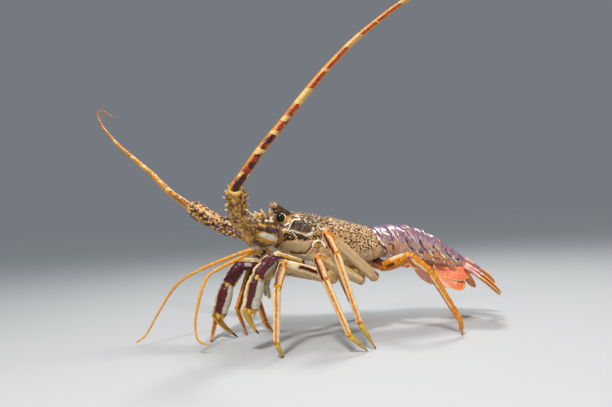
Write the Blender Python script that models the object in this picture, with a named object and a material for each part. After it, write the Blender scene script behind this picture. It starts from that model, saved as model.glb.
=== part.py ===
# Spiny lobster, life-size still model: head towards -X, the animal's left side towards -Y
import math
import random

import bmesh
import bpy
import numpy as np
from mathutils import Vector
from mathutils.bvhtree import BVHTree

# Every place and size below is in millimetres in the animal's own frame, floor at height 0
MM = 0.001
CENTRE_X = -22.6
CENTRE_Y = 4.48
GAP = 0.3

# How many faces go round and along the main forms
LEG_SIDES = 8
SHELL_SIDES = 26
SHELL_RINGS = 22
RING_SIDES = 18
PEDUNCLE_SIDES = 12

# Feelers: radius at the root and the tip, and the length over which the whole one thins down
FLAGELLUM_BASE = 6.2
FLAGELLUM_TIP = 0.9
FLAGELLUM_LENGTH = 560.0
EYE_RADIUS = 6.2
EYE_PLACE = (-86.0, 28.5, 167.5)
ORBIT_RADIUS = 8.4

# Carapace stations: place along the back, top height, half width, bottom height, lean of the low edge
SHELL_KEYS = [
    (-83.0, 171.0, 30.0, 130.0, -5.0),
    (-64.0, 173.5, 33.0, 113.0, -15.0),
    (-40.0, 170.5, 38.5, 102.5, -12.0),
    (-8.0, 165.0, 41.5, 94.0, -13.0),
    (22.0, 155.5, 40.5, 94.5, -2.0),
    (46.0, 148.0, 35.0, 102.0, 9.0),
]
GROOVE_AT = -19.0
GROOVE_DEPTH = 3.2
GROOVE_WIDTH = 4.5
GROOVE_SWEEP = -16.0

# Thorns of the back shell: rows along it, spacing round it, lengths at the front and the rear
SPINE_SEED = 7
SPINE_SINK = 2.4
SPINE_ROWS = 14
SPINE_SPACING = 10.6
SPINE_LENGTHS = (5.4, 3.2)
BROW_SPINES = [(-55, 0.3, 7.6), (-43, 0.3, 6.4), (-50, 0.82, 6.2), (-64, 1.02, 6.8)]
HORN_WIDTH = 8.8
HORN_THICK = 3.6
HORN_TEETH = [(0.42, 3.2), (0.6, 3.4), (0.78, 3.2)]

# Borders of the six tail rings: top point, bottom point, half width
RING_BORDERS = [
    ((46.15, 147.0), (55.15, 102.0), 32.0),
    ((58.0, 149.0), (68.0, 102.0), 33.0),
    ((80.0, 150.5), (88.0, 99.5), 33.0),
    ((103.0, 149.0), (107.0, 97.5), 31.5),
    ((127.0, 141.5), (125.0, 94.0), 29.0),
    ((152.0, 128.5), (144.0, 87.0), 25.5),
    ((196.0, 96.0), (183.0, 80.0), 19.0),
]
# Side points of the rings: share of the ring that they grow from, tip place along the body, tip height
PLEURON_TIPS = [(0.5, 68.0, 107.0), (0.55, 87.0, 101.0), (0.57, 114.0, 100.0), (0.6, 134.0, 96.0), (0.6, 153.0, 91.0),
                (0.4, 171.0, 83.0)]

# Joints of each leg: inside the body, ischium, knee, carpus end, propodus end, tip
LEG_JOINTS = {
    "1_left": [(-40, -15, 99), (-52, -33, 98), (-104, -62, 117), (-128, -75, 96), (-139, -72, 54), (-128, -62, 23)],
    "2_left": [(-14, -15, 90), (-20, -38, 81), (-97, -85, 110), (-109, -100, 82), (-114, -106, 19), (-106, -104, 0)],
    "3_left": [(12, -15, 88), (20, -40, 77), (-55, -90, 116), (-49, -105, 87), (-28, -122, 22), (-5, -118, 0)],
    "4_left": [(34, -15, 90), (40, -39, 79), (-41, -85, 146), (-31, -97, 118), (-11, -112, 34), (8, -112, 0)],
    "5_left": [(50, -14, 98), (56, -37, 93), (77, -75, 108), (99, -85, 87), (135, -92, 21), (136, -93, 0)],
    "1_right": [(-40, 15, 99), (-52, 33, 98), (-133, 48, 104), (-153, 50, 76), (-168, 47, 32), (-143, 42, 1)],
    "2_right": [(-14, 15, 90), (-24, 36, 80), (-122, 94, 104), (-140, 99, 75), (-172, 58, 25), (-182, 28, 0)],
    "3_right": [(12, 15, 90), (10, 40, 88), (-97, 64, 121), (-115, 64, 101), (-140, 58, 37), (-128, 48, 0)],
    "4_right": [(34, 15, 90), (34, 50, 75), (-93, 100, 92), (-110, 105, 69), (-96, 78, 12), (-89, 56, 0)],
    "5_right": [(50, 14, 98), (56, 37, 93), (35, 72, 104), (26, 85, 77), (45, 90, 30), (60, 94, 0)],
}
# The claw legs lie flat in a plane that faces this way, the others in the plane of their own bend
CLAW_FACING = (0.25, 1.0, 0.1)
# Half sizes across and in the bending plane at those joints
CLAW_LEG = [(8.0, 8.5), (7.5, 8.5), (7.0, 8.6), (6.8, 8.8), (5.6, 9.0), (0.9, 1.1)]
WALKING_LEG = [(8.5, 8.5), (6.6, 7.2), (5.2, 5.8), (4.8, 5.4), (3.5, 4.1), (1.4, 1.8)]
# How far each length swells in its middle: coxa, merus, carpus, propodus, dactyl
CLAW_SWELL = [1.0, 1.06, 1.15, 1.25, 1.0]
WALKING_SWELL = [1.0, 1.2, 1.08, 0.98, 0.95]

# Antenna joints: root, base end, fourth end, fifth end
ANTENNA_JOINTS = {
    "left": [(-83, -18, 142), (-126, -42, 156), (-149, -77, 171), (-154, -113, 203)],
    "right": [(-83, 18, 142), (-124, 44, 150), (-157, 72, 163), (-199, 98, 192)],
}
# Radii of the three thick antenna lengths at shares of their length
PEDUNCLE_STOPS = [0.0, 0.25, 0.55, 0.82, 1.0]
PEDUNCLE_RADII = {
    "base": [8.0, 14.0, 21.5, 19.5, 12.8],
    "fourth": [12.0, 12.4, 12.6, 12.8, 11.5],
    "fifth": [10.8, 11.2, 12.0, 12.2, 8.2],
}
# Thorns of those lengths: how many along, angles round from the top, length
PEDUNCLE_SPINES = {
    "base": (3, [-0.85, 0.0, 0.85], 9.0),
    "fourth": (2, [-1.4, -0.45, 0.65, 1.5], 5.6),
    "fifth": (4, [-1.7, -0.6, 0.6, 1.7], 5.0),
}
FLAGELLUM_POINTS = {
    "left": [
        (-153, -113, 203), (-146, -117, 216), (-125, -122, 245), (-97, -126, 277), (-71, -130, 308), (-43, -135, 339),
        (-11, -140, 370), (22, -145, 396), (52, -150, 417), (95, -154, 441), (150, -158, 464), (215, -160, 482),
        (290, -161, 494),
    ],
    "right": [
        (-199, 98, 192), (-209, 102, 200), (-229, 112, 217), (-255, 126, 247), (-284, 140, 276), (-302, 148, 294),
        (-321, 157, 318), (-331, 163, 336), (-334, 166, 348), (-329, 167, 353), (-321, 168, 350), (-312, 170, 343),
    ],
}
# Leaves under the tail: share of the ring at the root, reach back and down, half width
LEAF_REACH = {2: (0.7, 15.0, 9.0, 6.0), 3: (0.75, 18.0, 11.0, 7.0), 4: (0.95, 50.0, 35.0, 14.0),
              5: (0.9, 45.0, 35.0, 13.0)}
LEAF_LOBES = [0.0, 0.36]
ANTENNULE_POINTS = {
    "left": [(-108, -7, 124), (-127, -12, 121), (-178, -30, 102), (-192, -36, 86), (-203, -40, 49), (-204, -42, 26),
             (-199, -42, 16), (-187, -40, 12)],
    "right": [(-108, 7, 124), (-128, 12, 124), (-193, 30, 101), (-226, 40, 80), (-250, 44, 46), (-268, 45, 17),
              (-281, 45, 7)],
}


def at(place):
    """Turn a place in millimetres into a point in metres about the part's origin."""
    x, y, z = place
    return Vector(((x - CENTRE_X) * MM, (y - CENTRE_Y) * MM, z * MM))


def material(name, colour, roughness, metallic=0.0):
    """A plain surface with the part's own colour."""
    made = bpy.data.materials.new(name)
    made.use_nodes = True
    shader = made.node_tree.nodes["Principled BSDF"]
    shader.inputs["Base Color"].default_value = (*colour, 1.0)
    shader.inputs["Roughness"].default_value = roughness
    shader.inputs["Metallic"].default_value = metallic
    return made


def to_object(name, bm, surface=None, collection=None):
    """Close up a bmesh into an object whose faces point outwards."""
    bmesh.ops.remove_doubles(bm, verts=bm.verts, dist=1e-6)
    bmesh.ops.recalc_face_normals(bm, faces=bm.faces)
    bmesh.ops.triangulate(bm, faces=[face for face in bm.faces if len(face.verts) > 3])
    if bm.calc_volume(signed=True) < 0:
        bmesh.ops.reverse_faces(bm, faces=bm.faces)
    mesh = bpy.data.meshes.new(name)
    bm.to_mesh(mesh)
    bm.free()
    made = bpy.data.objects.new(name, mesh)
    (collection or work).objects.link(made)
    if surface:
        mesh.materials.append(surface)
    return made


def loft(name, rings, surface=None):
    """Join unlike sections, each a list of millimetre points, into one closed body."""
    bm = bmesh.new()
    rows = [[bm.verts.new(at(point)) for point in ring] for ring in rings]
    count = len(rows[0])
    for lower, upper in zip(rows, rows[1:]):
        for i in range(count):
            j = (i + 1) % count
            bm.faces.new((lower[i], lower[j], upper[j], upper[i]))
    bm.faces.new(reversed(rows[0]))
    bm.faces.new(rows[-1])
    return to_object(name, bm, surface)


def unit(vector):
    return vector / np.linalg.norm(vector)


def smooth_points(points, steps):
    """Points read along a smooth curve through the given ones."""
    pts = [np.array(p, float) for p in points]
    ends = [2 * pts[0] - pts[1]] + pts + [2 * pts[-1] - pts[-2]]
    out = []
    for a, b, c, d in zip(ends, ends[1:], ends[2:], ends[3:]):
        for k in range(steps):
            t = k / steps
            out.append(0.5 * (2 * b + (c - a) * t + (2 * a - 5 * b + 4 * c - d) * t * t
                              + (3 * b - a - 3 * c + d) * t ** 3))
    out.append(pts[-1])
    return out


def ease(keys, x):
    """A smooth reading at x between rows of key values, row 0 being the place."""
    table = np.array(keys, float)
    xs = table[:, 0]
    slopes = np.gradient(table, xs, axis=0)
    i = int(np.clip(np.searchsorted(xs, x) - 1, 0, len(xs) - 2))
    h = xs[i + 1] - xs[i]
    t = (x - xs[i]) / h
    return ((2 * t ** 3 - 3 * t ** 2 + 1) * table[i] + (t ** 3 - 2 * t ** 2 + t) * h * slopes[i]
            + (3 * t ** 2 - 2 * t ** 3) * table[i + 1] + (t ** 3 - t ** 2) * h * slopes[i + 1])[1:]


def bent(value, power):
    return math.copysign(abs(value) ** power, value)


def section_point(angle, half, up, down):
    """A shell section: round above, flatter below; the angle runs from the top."""
    across, high = math.sin(angle), math.cos(angle)
    if high >= 0:
        return half * bent(across, 0.9), up * bent(high, 0.95)
    return half * bent(across, 0.7), down * bent(high, 0.8)


def carapace_point(x, angle, extra=0.0):
    """A point on the carapace: x along the back, angle from the top."""
    top, half, bottom, lean = ease(SHELL_KEYS, x)
    turn = abs((angle + math.pi) % (2 * math.pi) - math.pi) / math.pi
    groove_x = GROOVE_AT + GROOVE_SWEEP * turn
    dip = GROOVE_DEPTH * math.exp(-((x - groove_x) / GROOVE_WIDTH) ** 2) * (turn < 0.62)
    half += extra - dip
    mid = bottom + 0.42 * (top - bottom)
    y, z = section_point(angle, half, top - mid + extra - dip, mid - bottom + extra)
    drop = (top - mid - z) / (top - bottom)
    return np.array([x + lean * drop, y, mid + z])


def mitre_ring(centre, along, normal, thin, wide, stretch=1.0, sides=LEG_SIDES):
    """An oval ring square to a direction, its wide axis in the bending plane."""
    normal = unit(normal - along * float(np.dot(normal, along)))
    wide_axis = np.cross(normal, along)
    turns = [2 * math.pi * (k + 0.5) / sides for k in range(sides)]
    return [centre + normal * thin * math.cos(t) + wide_axis * wide * stretch * math.sin(t) for t in turns]


def limb_rings(joints, sizes, swells, foot_flat, facing=None):
    """Rings along a jointed limb, as one list for each length between two joints."""
    pts = [np.array(p, float) for p in joints]
    normal = unit(np.cross(pts[2] - pts[1], pts[-2] - pts[2]))
    if facing is not None:
        normal = unit(np.array(facing, float))
    ways = [unit(b - a) for a, b in zip(pts, pts[1:])]
    joint_rings = []
    bends = []
    for i, centre in enumerate(pts):
        before = ways[max(i - 1, 0)]
        after = ways[min(i, len(ways) - 1)]
        along = unit(before + after)
        bend = math.acos(max(-1.0, min(1.0, float(np.dot(before, after))))) / 2
        thin, wide = sizes[i]
        bends.append(wide * math.tan(bend))
        ring = mitre_ring(centre, along, normal, thin, wide, 1 / math.cos(bend))
        if i == len(pts) - 1 and foot_flat:
            ring = mitre_ring(centre, np.array([0, 0, -1.0]), normal, thin, wide)
        joint_rings.append(ring)
    lengths = []
    for i, way in enumerate(ways):
        a, b = pts[i], pts[i + 1]
        span = float(np.linalg.norm(b - a))
        start = bends[i] * 1.1 + 1.2
        end = span - bends[i + 1] * 1.1 - 1.2
        if i == len(ways) - 1 and foot_flat:
            end = span - 1.0 - sizes[-1][1] * math.hypot(way[0], way[1]) / abs(way[2])
        rows = [joint_rings[i]]
        for share in (0.0, 0.5, 1.0):
            s = start + (end - start) * share
            mix = s / span
            swell = 1 + (swells[i] - 1) * math.sin(math.pi * min(1.0, mix * 1.05)) if 0 < share < 1 else 1.0
            thin = (sizes[i][0] * (1 - mix) + sizes[i + 1][0] * mix) * swell
            wide = (sizes[i][1] * (1 - mix) + sizes[i + 1][1] * mix) * swell
            rows.append(mitre_ring(a + way * s, way, normal, thin, wide))
        rows.append(joint_rings[i + 1])
        lengths.append(rows)
    return lengths


def shift(ring, way, amount):
    return [point + way * amount for point in ring]


def chain(lengths):
    """Rings of touching lengths with each shared joint ring used once."""
    rows = list(lengths[0])
    for more in lengths[1:]:
        rows += more[1:]
    return rows


def blade(name, path, width_at, thick_at, facing, surface, rings=9, sides=8):
    """A thin tapering plate along a path, alike on both faces, which look along facing."""
    pts = smooth_points(path, 6)
    facing = np.array(facing, float)
    rows = []
    for k in range(rings):
        t = k / (rings - 1)
        place = t * (len(pts) - 1)
        i = min(int(place), len(pts) - 2)
        centre = pts[i] + (pts[i + 1] - pts[i]) * (place - i)
        way = unit(pts[i + 1] - pts[i])
        side = unit(np.cross(facing, way))
        face = np.cross(way, side)
        turns = [2 * math.pi * (j + 0.5) / sides for j in range(sides)]
        rows.append([centre + side * width_at(t) * bent(math.cos(a), 0.8)
                     + face * thick_at(t) * bent(math.sin(a), 0.6) for a in turns])
    return loft(name, rows, surface)


def spine(name, root, tip, radius, sides=5):
    """A plain thorn from a sunk root to a sharp tip."""
    root, tip = np.array(root, float), np.array(tip, float)
    way = unit(tip - root)
    side = unit(np.cross(way, [0.3, 0.9, 0.31]))
    other = np.cross(way, side)
    bm = bmesh.new()
    turns = [2 * math.pi * k / sides for k in range(sides)]
    ring = [bm.verts.new(at(root + (side * math.cos(t) + other * math.sin(t)) * radius)) for t in turns]
    top = bm.verts.new(at(tip))
    for i in range(sides):
        bm.faces.new((ring[i], ring[(i + 1) % sides], top))
    bm.faces.new(reversed(ring))
    return to_object(name, bm)


def remove(objects):
    for old in objects:
        mesh = old.data
        bpy.data.objects.remove(old)
        bpy.data.meshes.remove(mesh)


def keep_largest(obj):
    """Keep only the largest closed surface of an object's mesh."""
    bm = bmesh.new()
    bm.from_mesh(obj.data)
    bmesh.ops.remove_doubles(bm, verts=bm.verts, dist=1e-6)
    bm.verts.ensure_lookup_table()
    seen = set()
    best = []
    for first in bm.verts:
        if first in seen:
            continue
        group, stack = [], [first]
        seen.add(first)
        while stack:
            vert = stack.pop()
            group.append(vert)
            for edge in vert.link_edges:
                other = edge.other_vert(vert)
                if other not in seen:
                    seen.add(other)
                    stack.append(other)
        spread = Vector([max(v.co[k] for v in group) - min(v.co[k] for v in group) for k in range(3)])
        if not best or spread.length > best[0]:
            best = [spread.length, set(group)]
    bmesh.ops.delete(bm, geom=[v for v in bm.verts if v not in best[1]], context="VERTS")
    bmesh.ops.triangulate(bm, faces=[face for face in bm.faces if len(face.verts) > 3])
    bm.to_mesh(obj.data)
    bm.free()


def combine(obj, others, operation):
    """Apply one Boolean with a collection of closed meshes, then clear the collection."""
    group = bpy.data.collections.new("pieces")
    bpy.context.scene.collection.children.link(group)
    for other in others:
        for holder in list(other.users_collection):
            holder.objects.unlink(other)
        group.objects.link(other)
    step = obj.modifiers.new("combine", "BOOLEAN")
    step.operation = operation
    step.operand_type = "COLLECTION"
    step.collection = group
    step.solver = "MANIFOLD"
    depsgraph = bpy.context.evaluated_depsgraph_get()
    mesh = bpy.data.meshes.new_from_object(obj.evaluated_get(depsgraph))
    obj.modifiers.remove(step)
    old = obj.data
    surfaces = [slot for slot in old.materials]
    obj.data = mesh
    mesh.materials.clear()
    for surface in surfaces:
        mesh.materials.append(surface)
    mesh.name = obj.name
    bpy.data.meshes.remove(old)
    remove(list(group.objects))
    bpy.data.collections.remove(group)
    keep_largest(obj)


def inflated(obj, amount=GAP):
    """A copy of a closed body grown by the gap, to cut its neighbours with."""
    copy = bpy.data.objects.new(obj.name + "_grown", obj.data.copy())
    work.objects.link(copy)
    bm = bmesh.new()
    bm.from_mesh(copy.data)
    bm.normal_update()
    moves = [(v, v.normal * amount * MM * min(v.calc_shell_factor(), 1.6)) for v in bm.verts]
    for vert, move in moves:
        vert.co += move
    bm.to_mesh(copy.data)
    bm.free()
    return copy


def finish(obj, smooth=True):
    """Move a made node to the model's collection and shade it."""
    for holder in list(obj.users_collection):
        holder.objects.unlink(obj)
    lobster.objects.link(obj)
    if smooth:
        obj.data.shade_smooth()
        obj.data.set_sharp_from_angle(angle=math.radians(50))
    return obj


def cut_clear(obj, neighbours, amount=GAP):
    """Cut an object back to the gap from each of its neighbours."""
    for neighbour in neighbours:
        combine(obj, [inflated(neighbour, amount)], "DIFFERENCE")


def surface_tree(obj):
    """The faces of an object, ready to be tested against others."""
    mesh = obj.data
    return BVHTree.FromPolygons([v.co for v in mesh.vertices], [tuple(p.vertices) for p in mesh.polygons])


def clear_of(thorns, neighbours, amount=1.0):
    """Leave out the thorns that come too near to a neighbouring body."""
    grown = [inflated(neighbour, amount) for neighbour in neighbours]
    trees = [surface_tree(body) for body in grown]
    remove(grown)
    kept, dropped = [], []
    for thorn in thorns:
        own = surface_tree(thorn)
        (dropped if any(own.overlap(tree) for tree in trees) else kept).append(thorn)
    remove(dropped)
    return kept


def make_orbit(sign):
    """The hollow behind the eye, as a round cutter."""
    bm = bmesh.new()
    bmesh.ops.create_icosphere(bm, subdivisions=2, radius=ORBIT_RADIUS * MM)
    bmesh.ops.translate(bm, verts=bm.verts, vec=at((EYE_PLACE[0], sign * EYE_PLACE[1], EYE_PLACE[2])))
    return to_object("orbit", bm)


def make_eye(side, sign):
    """An eye on its short stalk, seated in the orbit under the horn."""
    centre = np.array([EYE_PLACE[0], sign * EYE_PLACE[1], EYE_PLACE[2]])
    root = centre + np.array([9.0, -sign * 16.0, -7.0])
    way = unit(centre - root)
    reach = float(np.linalg.norm(centre - root))
    stops = [(0.0, 3.6), (reach - 6.5, 3.8)]
    for k in range(2, 9):
        a = math.pi * k / 9
        stops.append((reach - EYE_RADIUS * math.cos(a), EYE_RADIUS * math.sin(a)))
    rows = [mitre_ring(root + way * s, way, np.array([0, 0, 1.0]), r, r, sides=12) for s, r in stops]
    return loft("eye_" + side, rows, EYE)


def make_horn(side, sign):
    """The broad triangular horn over each eye, with teeth along its front edge."""
    path = [(-69, sign * 11.5, 164), (-76, sign * 12.3, 172), (-83, sign * 13, 180), (-92, sign * 13.4, 190)]
    facing = np.array([0.1, 1, 0.45 * sign])
    horn = blade("horn_" + side, path, lambda t: HORN_WIDTH * (1 - t) ** 0.85 + 0.4,
                 lambda t: HORN_THICK * (1 - t) + 0.4, facing, None, rings=6)
    cut_clear(horn, eyes)
    line = smooth_points(path, 6)
    teeth = []
    for share, length in HORN_TEETH:
        i = int(share * (len(line) - 1))
        way = unit(line[i + 1] - line[i])
        out = unit(np.cross(facing, way))
        out = out if out[0] < 0 else -out
        rim = line[i] + out * HORN_WIDTH * (1 - share) ** 0.85
        teeth.append(spine("tooth", rim - out * 1.8, rim + unit(out + way * 0.8) * length, 1.4, 4))
    return [horn] + teeth


def make_carapace():
    """The back shell with its groove; spines and horns are fused on."""
    rows = []
    ends = SHELL_KEYS[0][0], SHELL_KEYS[-1][0]
    for k in range(SHELL_RINGS):
        x = ends[0] + (ends[1] - ends[0]) * k / (SHELL_RINGS - 1)
        turns = [2 * math.pi * j / SHELL_SIDES for j in range(SHELL_SIDES)]
        rows.append([carapace_point(x, a) for a in turns])
    return loft("carapace", rows, SHELL)


def carapace_spines():
    """Thorns that point forwards, set in staggered rows and smaller towards the rear."""
    draw = random.Random(SPINE_SEED)
    first, last = SHELL_KEYS[0][0] + 9, SHELL_KEYS[-1][0] - 7
    made = []
    for row in range(SPINE_ROWS):
        share = row / (SPINE_ROWS - 1)
        x = first + (last - first) * share
        half = ease(SHELL_KEYS, x)[1]
        step = SPINE_SPACING / half
        reach = 1.25 - 0.25 * share
        count = int(reach / step)
        for k in range(-count, count + 1):
            angle = (k + 0.5 * (row % 2)) * step + draw.uniform(-0.15, 0.15) * step
            place_x = x + draw.uniform(-1.6, 1.6)
            size = SPINE_LENGTHS[0] + (SPINE_LENGTHS[1] - SPINE_LENGTHS[0]) * share
            length = size * draw.uniform(0.8, 1.25)
            if abs(angle) > reach or (place_x < -58 and abs(angle) < 0.62):
                continue
            made.append(shell_spine(place_x, angle, length, 0.3 * length))
    for sign in (-1, 1):
        for x, angle, length in BROW_SPINES:
            made.append(shell_spine(x, sign * angle, length, 2.0))
    return made


def shell_spine(x, angle, length, radius):
    """One thorn on the back shell, leaning forwards."""
    place = carapace_point(x, angle)
    along = carapace_point(x + 1, angle) - carapace_point(x - 1, angle)
    around = carapace_point(x, angle + 0.02) - carapace_point(x, angle - 0.02)
    normal = unit(np.cross(along, around))
    normal = normal if float(np.dot(normal, place - np.array([x, 0, 130.0]))) > 0 else -normal
    way = unit(normal * 0.66 - unit(along) * 0.62)
    return spine("thorn", place - way * SPINE_SINK, place + way * length, radius, 4)


def make_sternum():
    """The plate between the legs, widening to the rear."""
    keys = [(-62.0, 10.0, 104.0, 97.0), (-40.0, 15.0, 106.0, 89.0), (0.0, 19.0, 98.0, 84.0), (30.0, 22.0, 99.0, 86.0),
            (54.0, 22.0, 106.0, 95.0)]
    rows = []
    for k in range(7):
        x = keys[0][0] + (keys[-1][0] - keys[0][0]) * k / 6
        half, top, bottom = ease(keys, x)
        turns = [2 * math.pi * (j + 0.5) / 12 for j in range(12)]
        mid = (top + bottom) / 2
        rows.append([np.array([x, half * bent(math.cos(a), 0.6), mid + (top - mid) * bent(math.sin(a), 0.6)])
                     for a in turns])
    return loft("sternum", rows, UNDERSIDE)


def ring_section(top, bottom, half, scale, push):
    """A tail section between its top and bottom points."""
    high = np.array([top[0], 0.0, top[1]])
    low = np.array([bottom[0], 0.0, bottom[1]])
    up = high - low
    tall = float(np.linalg.norm(up))
    up = up / tall
    way = np.array([up[2], 0.0, -up[0]])
    mid = low + up * tall * 0.4
    out = []
    for j in range(RING_SIDES):
        y, z = section_point(2 * math.pi * j / RING_SIDES, half * scale, tall * 0.6 * scale, tall * 0.4)
        out.append(mid + np.array([0, y, 0]) + up * z + way * push)
    return out


def make_tail_ring(number):
    """One ring of the tail with its raised rear edge and its two side points."""
    front, rear = RING_BORDERS[number - 1], RING_BORDERS[number]
    steps = [(0.0, 0.955, GAP / 2), (0.3, 0.955, 0), (0.42, 0.935, 0), (0.54, 0.975, 0), (0.9, 0.995, 0),
             (1.0, 0.985, -GAP / 2)]
    if number == 6:
        steps = [(0.0, 0.955, GAP / 2), (0.2, 0.97, 0), (0.5, 0.99, 0), (0.8, 0.97, 0), (1.0, 0.9, -GAP / 2)]
    rows = []
    for share, scale, push in steps:
        mix = [tuple(np.array(front[k]) * (1 - share) + np.array(rear[k]) * share) for k in (0, 1)]
        half = front[2] * (1 - share) + rear[2] * share
        rows.append(ring_section(mix[0], mix[1], half, scale, push))
    ring = loft("abdomen_%d" % number, rows, ABDOMEN)
    return ring


def pleuron(number, sign):
    """The hooked side point of a tail ring, root sunk in the ring's side."""
    front, rear = RING_BORDERS[number - 1], RING_BORDERS[number]
    share, tip_x, tip_z = PLEURON_TIPS[number - 1]
    top = np.array(front[0]) * (1 - share) + np.array(rear[0]) * share
    low = np.array(front[1]) * (1 - share) + np.array(rear[1]) * share
    half = front[2] * (1 - share) + rear[2] * share
    root = low + (top - low) * 0.5
    elbow = low + (top - low) * 0.2
    path = [(root[0], sign * (half - 4.0), root[1]), (elbow[0] + 2, sign * (half + 0.3), elbow[1]),
            (0.4 * elbow[0] + 0.6 * tip_x, sign * (half + 0.8), 0.45 * elbow[1] + 0.55 * tip_z),
            (tip_x, sign * half, tip_z)]
    broad = min(8.0, 0.34 * float(np.linalg.norm(np.array(rear[0]) - np.array(front[0]))))
    return blade("pleuron", path, lambda t: broad * (1 - t) ** 0.8 + 0.6, lambda t: 1.5 * (1 - t) + 0.5,
                 (0, 1, 0), None, rings=6, sides=6)


def make_claw(name, joints):
    """The movable finger of a front leg, and the fixed spur that it closes on."""
    hinge, tip = np.array(joints[4], float), np.array(joints[5], float)
    hand = unit(hinge - np.array(joints[3], float))
    outer = unit(np.cross(np.array(CLAW_FACING), hand))
    outer = outer if outer[0] < 0 else -outer
    seat = hinge + outer * 3.0
    way = unit(tip - seat)
    reach = float(np.linalg.norm(tip - seat))
    bow = unit(outer - way * float(np.dot(outer, way)))
    finger = blade(name + "_finger", [seat - way * 6, seat + way * reach * 0.4 + bow * 3.0, tip],
                   lambda t: 5.6 * (1 - t) ** 0.85 + 0.6, lambda t: 4.2 * (1 - t) + 0.6, CLAW_FACING, None, rings=8)
    heel = hinge - outer * 4.6 - hand * 6
    spur = blade(name + "_spur", [heel, hinge - outer * 6.5 + hand * 2, hinge - outer * 7 + hand * 8.5],
                 lambda t: 3.8 * (1 - t) + 0.5, lambda t: 3.4 * (1 - t) + 0.5, CLAW_FACING, None, rings=4, sides=6)
    return [finger, spur]


def make_leg(name, joints):
    """The upper and lower length of a leg, parted by a thin cut at the knee."""
    claw = name.startswith("1")
    sizes = CLAW_LEG if claw else WALKING_LEG
    swells = CLAW_SWELL if claw else WALKING_SWELL
    if claw:
        lengths = limb_rings(joints[:5], sizes[:5], swells, False, CLAW_FACING)
    else:
        lengths = limb_rings(joints, sizes, swells, True)
    before = unit(np.array(joints[2], float) - np.array(joints[1], float))
    after = unit(np.array(joints[3], float) - np.array(joints[2], float))
    along = unit(before + after)
    lengths[1][-1] = shift(lengths[1][-1], along, -GAP / 2)
    lengths[2][0] = shift(lengths[2][0], along, GAP / 2)
    colour = CLAW if claw else LEG
    upper = loft("leg_%s_upper" % name, chain(lengths[:2]), colour)
    lower = loft("leg_%s_lower" % name, chain(lengths[2:]), colour)
    if claw:
        combine(lower, make_claw(name, joints), "UNION")
    return upper, lower


def tube(name, points, radii, surface, sides_level=2):
    """A tapering feeler as a bevelled curve with filled caps, turned into a closed mesh."""
    curve = bpy.data.curves.new(name, "CURVE")
    curve.dimensions = "3D"
    curve.bevel_depth = MM
    curve.bevel_resolution = sides_level
    curve.use_fill_caps = True
    spline = curve.splines.new("POLY")
    spline.points.add(len(points) - 1)
    for dot, place, radius in zip(spline.points, points, radii):
        dot.co = (*at(place), 1.0)
        dot.radius = radius
    guide = bpy.data.objects.new(name + "_curve", curve)
    work.objects.link(guide)
    depsgraph = bpy.context.evaluated_depsgraph_get()
    mesh = bpy.data.meshes.new_from_object(guide.evaluated_get(depsgraph))
    bm = bmesh.new()
    bm.from_mesh(mesh)
    bmesh.ops.remove_doubles(bm, verts=bm.verts, dist=1e-6)
    made = to_object(name, bm, surface)
    made.matrix_world = guide.matrix_world
    bpy.data.objects.remove(guide)
    bpy.data.curves.remove(curve)
    bpy.data.meshes.remove(mesh)
    return made


def make_flagellum(side):
    """The long feeler in two lengths that meet at a thin cut."""
    pts = smooth_points(FLAGELLUM_POINTS[side], 3)
    below, root = [np.array(p, float) for p in ANTENNA_JOINTS[side][-2:]]
    out = unit(root - below)
    pts = [root + out * GAP, root + out * 4] + pts[2:]
    lengths = [0.0]
    for a, b in zip(pts, pts[1:]):
        lengths.append(lengths[-1] + float(np.linalg.norm(b - a)))
    total = min(lengths[-1], FLAGELLUM_LENGTH)
    radius = [FLAGELLUM_BASE + (FLAGELLUM_TIP - FLAGELLUM_BASE) * min(1.0, s / total) ** 0.85 for s in lengths]
    half = len(pts) // 2
    way = unit(pts[half + 1] - pts[half - 1])
    low = pts[:half] + [pts[half] - way * 2, pts[half] - way * GAP / 2]
    high = [pts[half] + way * GAP / 2, pts[half] + way * 2] + pts[half + 1:]
    lower = tube("antenna_flagellum_%s_lower" % side, low, radius[:half] + [radius[half]] * 2, FEELER)
    upper = tube("antenna_flagellum_%s_upper" % side, high, [radius[half]] * 2 + radius[half + 1:], FEELER)
    return lower, upper


def make_antenna(side, sign):
    """The three thick lengths that carry the feeler."""
    joints = [np.array(p, float) for p in ANTENNA_JOINTS[side]]
    ways = [unit(b - a) for a, b in zip(joints, joints[1:])]
    made = []
    for i, (name, radii) in enumerate(PEDUNCLE_RADII.items()):
        way = ways[i]
        first = unit(ways[i - 1] + way) if i else way
        last = unit(way + ways[i + 1]) if i < len(ways) - 1 else way
        rows = []
        for share, radius in zip(PEDUNCLE_STOPS, radii):
            along = first if share == 0 else last if share == 1 else way
            centre = joints[i] + (joints[i + 1] - joints[i]) * share
            centre = centre + along * GAP * (0.5 - share if share in (0, 1) else 0)
            rows.append(mitre_ring(centre, along, np.array([0.0, 0.0, 1.0]), radius * 1.06, radius * 0.94,
                                  sides=PEDUNCLE_SIDES))
        made.append(loft("antenna_%s_%s" % (name, side), rows, PEDUNCLE))
    return made


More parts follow.
